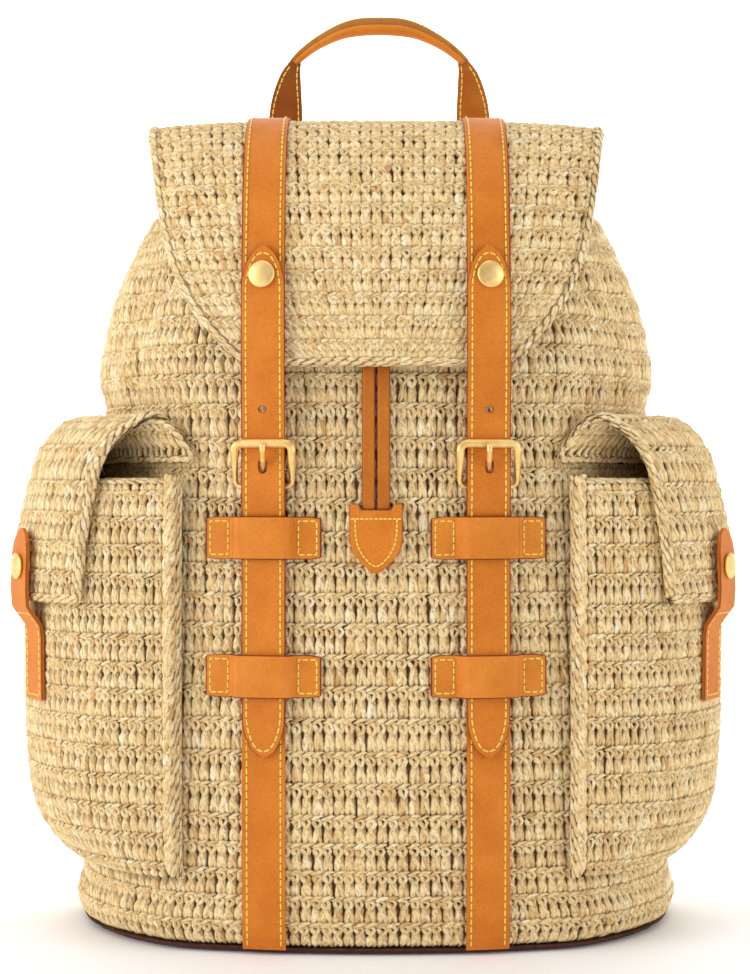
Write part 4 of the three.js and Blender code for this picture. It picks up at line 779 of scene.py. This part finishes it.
# the base panel's edge: burnished, with burgundy paint
edgePaint = cloudy("burnished leather with burgundy paint", 400.0, 3.0, [(.3, "#420A10"), (.7, "#5E1219")],
                   (.4, .4), (.3, .0003))
dress("base_panel", edgePaint, .0006)
for word in ("left", "right"):
    for part in ("belt_strap_", "base_strap_"):
        dress(part + word, strapLeather, .0009)
    dress("flap_strap_" + word, strapLeather, .0009, soften=1)
    for part in ("_upper", "_lower"):
        dress("keeper_" + word + part, keeperTone, .0008)
    dress("pocket_tab_" + word, tabLeather)
    dress("handle_strap_" + word, legShades[word], soften=1)
    dress("shoulder_strap_" + word, bandLeather, soften=1)
    for part in ("belt_stud_", "buckle_frame_", "buckle_prong_", "pocket_snap_", "pocket_stud_"):
        dress(part + word, metal, .0004, soften=int("stud" in part))
dress("drawstring_tab", shieldLeather, .0009, turns=4)
dress("drawstring_loop", strapLeather, .0003)
print("leather and brass")

# the drawstring's two laces: flat folded leather cords from under the flap to the moulded tab
laceRows = [(378, 2.4), (360, 2.1), (330, 2), (300, 2), (275, 2.6), (250, 2.6), (219.3, 2.6)]
laceWidth, laceThick = 6.4, 2.4
laceSection = np.array([  # share of the width, of the thickness
    (-.5, .28), (-.42, .42), (-.28, .5), (-.1, .4), (.1, .4), (.28, .5), (.42, .42), (.5, .28),
    (.5, -.28), (.42, -.5), (-.42, -.5), (-.5, -.28)])
laceLeather = tannedLeather("folded lace", "X", "#B4620E", "#C4731A")


def smoothLine(points, count):
    points = np.asarray(points, float)
    step = np.sqrt(np.linalg.norm(np.diff(points, axis=0), axis=1))
    key = np.concatenate([[0], np.cumsum(step)])
    at = np.linspace(0, key[-1], count)
    table = np.column_stack([key, points])
    return np.stack([between(table, k + 1, at) for k in range(3)], -1)


def evenly(line, count):
    length = runOf(line)
    at = np.linspace(0, length[-1], count)
    return picked(line, length, at), length[-1]


# the grip: a thick roll below, and above it a band folded over and whipped along its top, painted darker as
# the shade it lies in
gripRows = np.array([  # share of the half span, drop, girth
    (0, 0, 1), (.26, .6, 1), (.48, 3.1, .87), (.71, 8.2, .72), (.84, 12, .65), (1, 18, .58),
    (1.05, 20.6, .55)])
gripShift, gripHalf, gripDepth, gripTop = 2.0, 46.0, 73.0, 490.5
rollSection = [(5.3 * math.cos(a), 3.1 * math.sin(a) - 1.6)
               for a in np.linspace(0, 2 * math.pi, 20, endpoint=False)]
bandSection = [(-4.1, -.4), (-4, 1.4), (-3.6, 3.2), (-2.7, 4.4), (-1.4, 4.8), (1.4, 4.8), (2.7, 4.4),
               (3.6, 3.2), (4, 1.4), (4.1, -.4)]
gripShares = np.linspace(-1.05, 1.05, 61)
gripGirth = between(gripRows, 2, np.abs(gripShares))
gripDrop = between(gripRows, 1, np.abs(gripShares))
gripLine = np.stack([gripShift + gripHalf * gripShares, gripDepth + 0 * gripShares, gripTop - gripDrop], -1)
gripRun = unit(np.gradient(gripLine, axis=0))
gripUp = np.stack([-gripRun[:, 2], 0 * gripShares, gripRun[:, 0]], -1)


def tubeFaces(rings, sides):
    index = np.arange(rings * sides).reshape(rings, sides)
    a, b = index[:-1], index[1:]
    return index, np.stack([a, np.roll(a, -1, 1), np.roll(b, -1, 1), b], -1).reshape(-1, 4)


def sweep(name, outline, material):  # a closed section carried along the grip, with both ends shut
    outline = np.array(outline)
    depth = np.array([0, 1, 0]) * outline[None, :, :1]
    ring = gripLine[:, None] + (depth + gripUp[:, None] * outline[None, :, 1:]) * gripGirth[:, None, None]
    sides = len(outline)
    index, faces = tubeFaces(len(gripLine), sides)
    caps = []
    for row, way in ((index[0], -1), (index[-1], 1)):
        for k in range(1, sides // 2):
            caps.append([row[k - 1], row[k], row[-1 - k], row[-k]][::way])
    put(makeMesh(name, ring.reshape(-1, 3), np.concatenate([faces, caps]), material),
        "tan_leather", "handle_grip")


sweep("grip_roll", rollSection, rollLeather)
sweep("grip_band", bandSection, shadedBandLeather)

for side, word in bothSides:
    x = side * 3.7
    rows = [onFront(np.array([x]), np.array([float(z)]), np.array([float(lift)]))[0] * (0, 1, 1) + (x, 0, 0)
            for z, lift in laceRows]
    line, laceLength = evenly(smoothLine(rows, 200), 60)
    ahead = np.gradient(line, axis=0)
    across = np.tile((1.0, 0, 0), (len(line), 1))
    out = unit(np.cross(across, ahead))
    out = out * np.where(out[:, 1:2] > 0, -1, 1)
    ring = (line[:, None] + across[:, None] * laceSection[None, :, :1] * laceWidth
            + out[:, None] * laceSection[None, :, 1:] * laceThick)
    faces = tubeFaces(len(line), len(laceSection))[1]
    lace = put(makeMesh("lace_" + word, ring.reshape(-1, 3), faces, laceLeather),
               "tan_leather", "drawstring_lace_" + word)
    print("lace", word, laceLength)

# waxed thread in saddle stitch: short yellow dashes, each between two holes drawn as dots painted dark as
# their shade
threadTone = cloudy("waxed linen thread", 1400.0, 2.0, [(.3, "#E8C03C"), (.7, "#F7DA68")], (.5, .5))
holeShade = cloudy("pricked hole in leather, painted dark as shade", 900.0, 2.0, [(.3, "#3E1C06"), (.7, "#5E300E")], (.8, .8))
threads, holes = {}, {}


def surfaceOf(name):
    data = nodes[name].data
    corners = [tuple(v.co) for v in data.vertices]
    return BVHTree.FromPolygons(corners, [tuple(p.vertices) for p in data.polygons])


def dropped(name, starts, direction):  # points and normals where lines along a direction meet a node
    tree, places, normals = surfaceOf(name), [], []
    way = Vector(direction)
    for start in starts:
        place, normal, _, _ = tree.ray_cast(Vector(start) * mm, way)
        if place is not None:
            places.append(np.array(place) / mm)
            normals.append(np.array(normal) if normal.dot(way) < 0 else -np.array(normal))
    return np.array(places), np.array(normals)


def ontoFront(name, outline):  # points given by side and height, dropped on a node's front
    return dropped(name, [(x, -200, z) for x, z in outline], (0, 1, 0))


def walked(corners, count):  # points along straight runs from corner to corner
    return np.concatenate([np.linspace(a, b, count, endpoint=False) for a, b in zip(corners, corners[1:])])


def seam(group, line, normals, pitch, closed=False):
    if len(line) < 2:
        return
    if closed:
        line, normals = np.concatenate([line, line[:1]]), np.concatenate([normals, normals[:1]])
    length = runOf(line)
    count = max(1, int(round(length[-1] / pitch)))
    pitch = length[-1] / count
    for store, share, half, lift in (
            (threads, np.linspace(.07, .93, 5), [.22, .38, .42, .38, .22], [.12, .36, .42, .36, .12]),
            (holes, np.linspace(-.1, .1, 3), [.2, .28, .2], [.04, .09, .04])):
        at = np.clip((np.arange(count)[:, None] + share[None]) * pitch, 0, length[-1])
        place, out = picked(line, length, at), unit(picked(normals, length, at))
        side = unit(np.cross(np.gradient(place, axis=1), out))
        size = np.broadcast_to(np.stack([half, lift], -1)[None], (count, len(share), 2))
        store.setdefault(group, []).append(strands(place, side, out, size))


pitches = {"strap": 3.9, "keeper": 3.6, "tab": 3.8, "leg": 3.6, "grip": 2.4, "shield": 2.3}
seamInset, keeperSeam = 2.4, 9.0  # a keeper's seams: distance from its edges, and width of each box
flapStrapTop = 2.32  # how far the face of a flap strap lies above the flap
tabShare, tabSeam = .405, [(-7.6, 124.4), (7.6, 124.4), (7.6, 166), (-7.6, 166), (-7.6, 124.4)]
legs = np.array([  # the handle's legs: height, out from the middle, half width
    (378, 53.6, 9.75), (437, 53.6, 9.75), (447.5, 52.9, 8.97), (456, 51.8, 7.4), (463.5, 50.2, 5.7),
    (470.7, 47, 3.6)])
beltMiddle, seamOff = 55.0, 8.35  # a belt's middle, and its seams to either side of it
beltLow, beltHigh, beltPoint = 100.8, 344.0, 18.0  # the ends of a belt's seam and the length of its points
for side, word in bothSides:
    middle = side * beltMiddle
    # the belt strap: a line all round, 2.4 mm in from its edge
    ends = []
    for z in np.concatenate([np.linspace(beltLow, beltLow + 17.2, 16), np.linspace(120, 325, 60),
                             np.linspace(beltHigh - 17, beltHigh, 16)]):
        inside = min(1, (z - beltLow) / beltPoint, (beltHigh - z) / beltPoint)
        ends.append((seamOff * math.sqrt(1 - (1 - inside) ** 1.8), z))
    outline = [(middle - h, z) for h, z in ends] + [(middle + h, z) for h, z in ends[::-1]]
    line, normals = ontoFront("belt_strap_" + word, outline)
    seam("straps_" + word, line, normals, pitches["strap"], True)
    for x in (middle - seamOff, middle + seamOff):
        line, normals = ontoFront("base_strap_" + word, [(x, z) for z in np.linspace(4, 116, 60)])
        seam("straps_" + word, line, normals, pitches["strap"])
        shares = np.linspace(.2, .995, 300)
        route = flapPoint(shares, x / (flapHalf * between(flapPath, 3, shares)))
        ahead = np.gradient(route, axis=0) * (0, 1, 1)
        out = unit(np.stack([0 * shares, -ahead[:, 2], ahead[:, 1]], -1))
        seam("straps_" + word, route + out * flapStrapTop, out, pitches["strap"])
    for height in ("_upper", "_lower"):
        name = "keeper_" + word + height
        low, high = [np.array(corner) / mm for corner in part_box(name)]
        bottom, top = low[2] + seamInset, high[2] - seamInset
        for left in (low[0] + seamInset, high[0] - seamInset - keeperSeam):
            right = left + keeperSeam
            corners = [(left, bottom), (right, bottom), (right, top), (left, top), (left, bottom)]
            line, normals = ontoFront(name, walked(corners, 12))
            seam("keepers_" + word, line, normals, pitches["keeper"], True)
    # the pocket's tab: a box of stitches on its sewn foot
    shares = np.array([tabShare])
    ahead, behind = [pocketPoint(side, shares + step, 190 + 0 * shares)[0] for step in (.01, -.01)]
    run = unit((ahead - behind) * (1, 1, 0)) * side
    out = np.array([run[1], -run[0], 0])
    out = out * (1 if out[0] * side > 0 else -1)
    starts = [pocketPoint(side, shares, np.array([z]))[0] + run * off + out * 60
              for off, z in walked(tabSeam, 24)]
    line, normals = dropped("pocket_tab_" + word, starts, tuple(-out))
    seam("pocket_tabs_" + word, line, normals, pitches["tab"], True)
    # the handle's leg
    for way in (-1, 1):
        outline = []
        for z in np.linspace(424, 468, 44):
            centre, half = between(legs, 1, z) * side + gripShift, between(legs, 2, z) - 2.2
            outline.append((centre + way * max(half, 1.6), z))
        line, normals = ontoFront("handle_strap_" + word, outline)
        seam("handle", line, normals, pitches["leg"])

# the grip's whipped top, then the moulded tab: a line round its shield and one across its top
whipped = gripLine + (gripUp * 4.55 - (0, 2.4, 0)) * gripGirth[:, None]
seam("handle", whipped[2:-2], unit(gripUp - (0, .8, 0))[2:-2], pitches["grip"])
half = [(10.2, 214.5), (10, 207), (9, 201.5), (6.4, 196.5), (2.9, 192.7), (0, 191.2)]
shape = [(-x, z) for x, z in half] + half[::-1][1:]
shape = np.concatenate([walked(shape, 6), [shape[-1]]])
for outline in (shape, [(x, 214.5) for x in np.linspace(-12.4, 12.4, 20)]):
    line, normals = ontoFront("drawstring_tab", outline)
    seam("drawstring", line, normals, pitches["shield"])
for store, material, ending in ((threads, threadTone, "_threads"), (holes, holeShade, "_thread_holes")):
    for group, parts in store.items():
        verts, faces, uvs, tones = joined(parts)
        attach(makeMesh(group + ending, verts, faces, material), "root")
print("threads")

# a pale floor, white surroundings and three broad soft lights
white = linear("#FFFFFF")
floorTone, _, floorShader = newMaterial("pale studio floor")
floorShader.inputs["Base Color"].default_value = white
floorShader.inputs["Roughness"].default_value = .9
floor = makeMesh("floor", [(-4000, -4000, -.4), (4000, -4000, -.4), (4000, 4000, -.4), (-4000, 4000, -.4)],
                 [(0, 1, 2, 3)], floorTone)
backTone, _, backShader = newMaterial("lit white backdrop")
backShader.inputs["Base Color"].default_value = white
backShader.inputs["Emission Color"].default_value = white
backShader.inputs["Emission Strength"].default_value = 1.0
backdrop = makeMesh("backdrop", [(-3000, 1500, -10), (3000, 1500, -10), (3000, 1500, 3000),
                                 (-3000, 1500, 3000)], [(0, 1, 2, 3)], backTone)
for name, place, power, width in (("left", (-1.7, -.9, .7), 22, 1.3), ("right", (1.7, -.8, .6), 13, 1.3),
                                  ("top", (0, -.4, 2.0), 12, 1.6)):
    data = bpy.data.lights.new(name, "AREA")
    data.energy, data.size = power, width
    lamp = bpy.data.objects.new(name, data)
    bpy.context.scene.collection.objects.link(lamp)
    lamp.location = place
    lamp.rotation_euler = (Vector((0, 0, .25)) - Vector(place)).to_track_quat("-Z", "Y").to_euler()
world = bpy.data.worlds.new("studio")
bpy.context.scene.world = world
world.use_nodes = True
sky = world.node_tree.nodes["Background"]
sky.inputs["Color"].default_value = white
sky.inputs["Strength"].default_value = .42
bpy.context.scene.view_settings.view_transform = "Standard"
print("floor and lights")
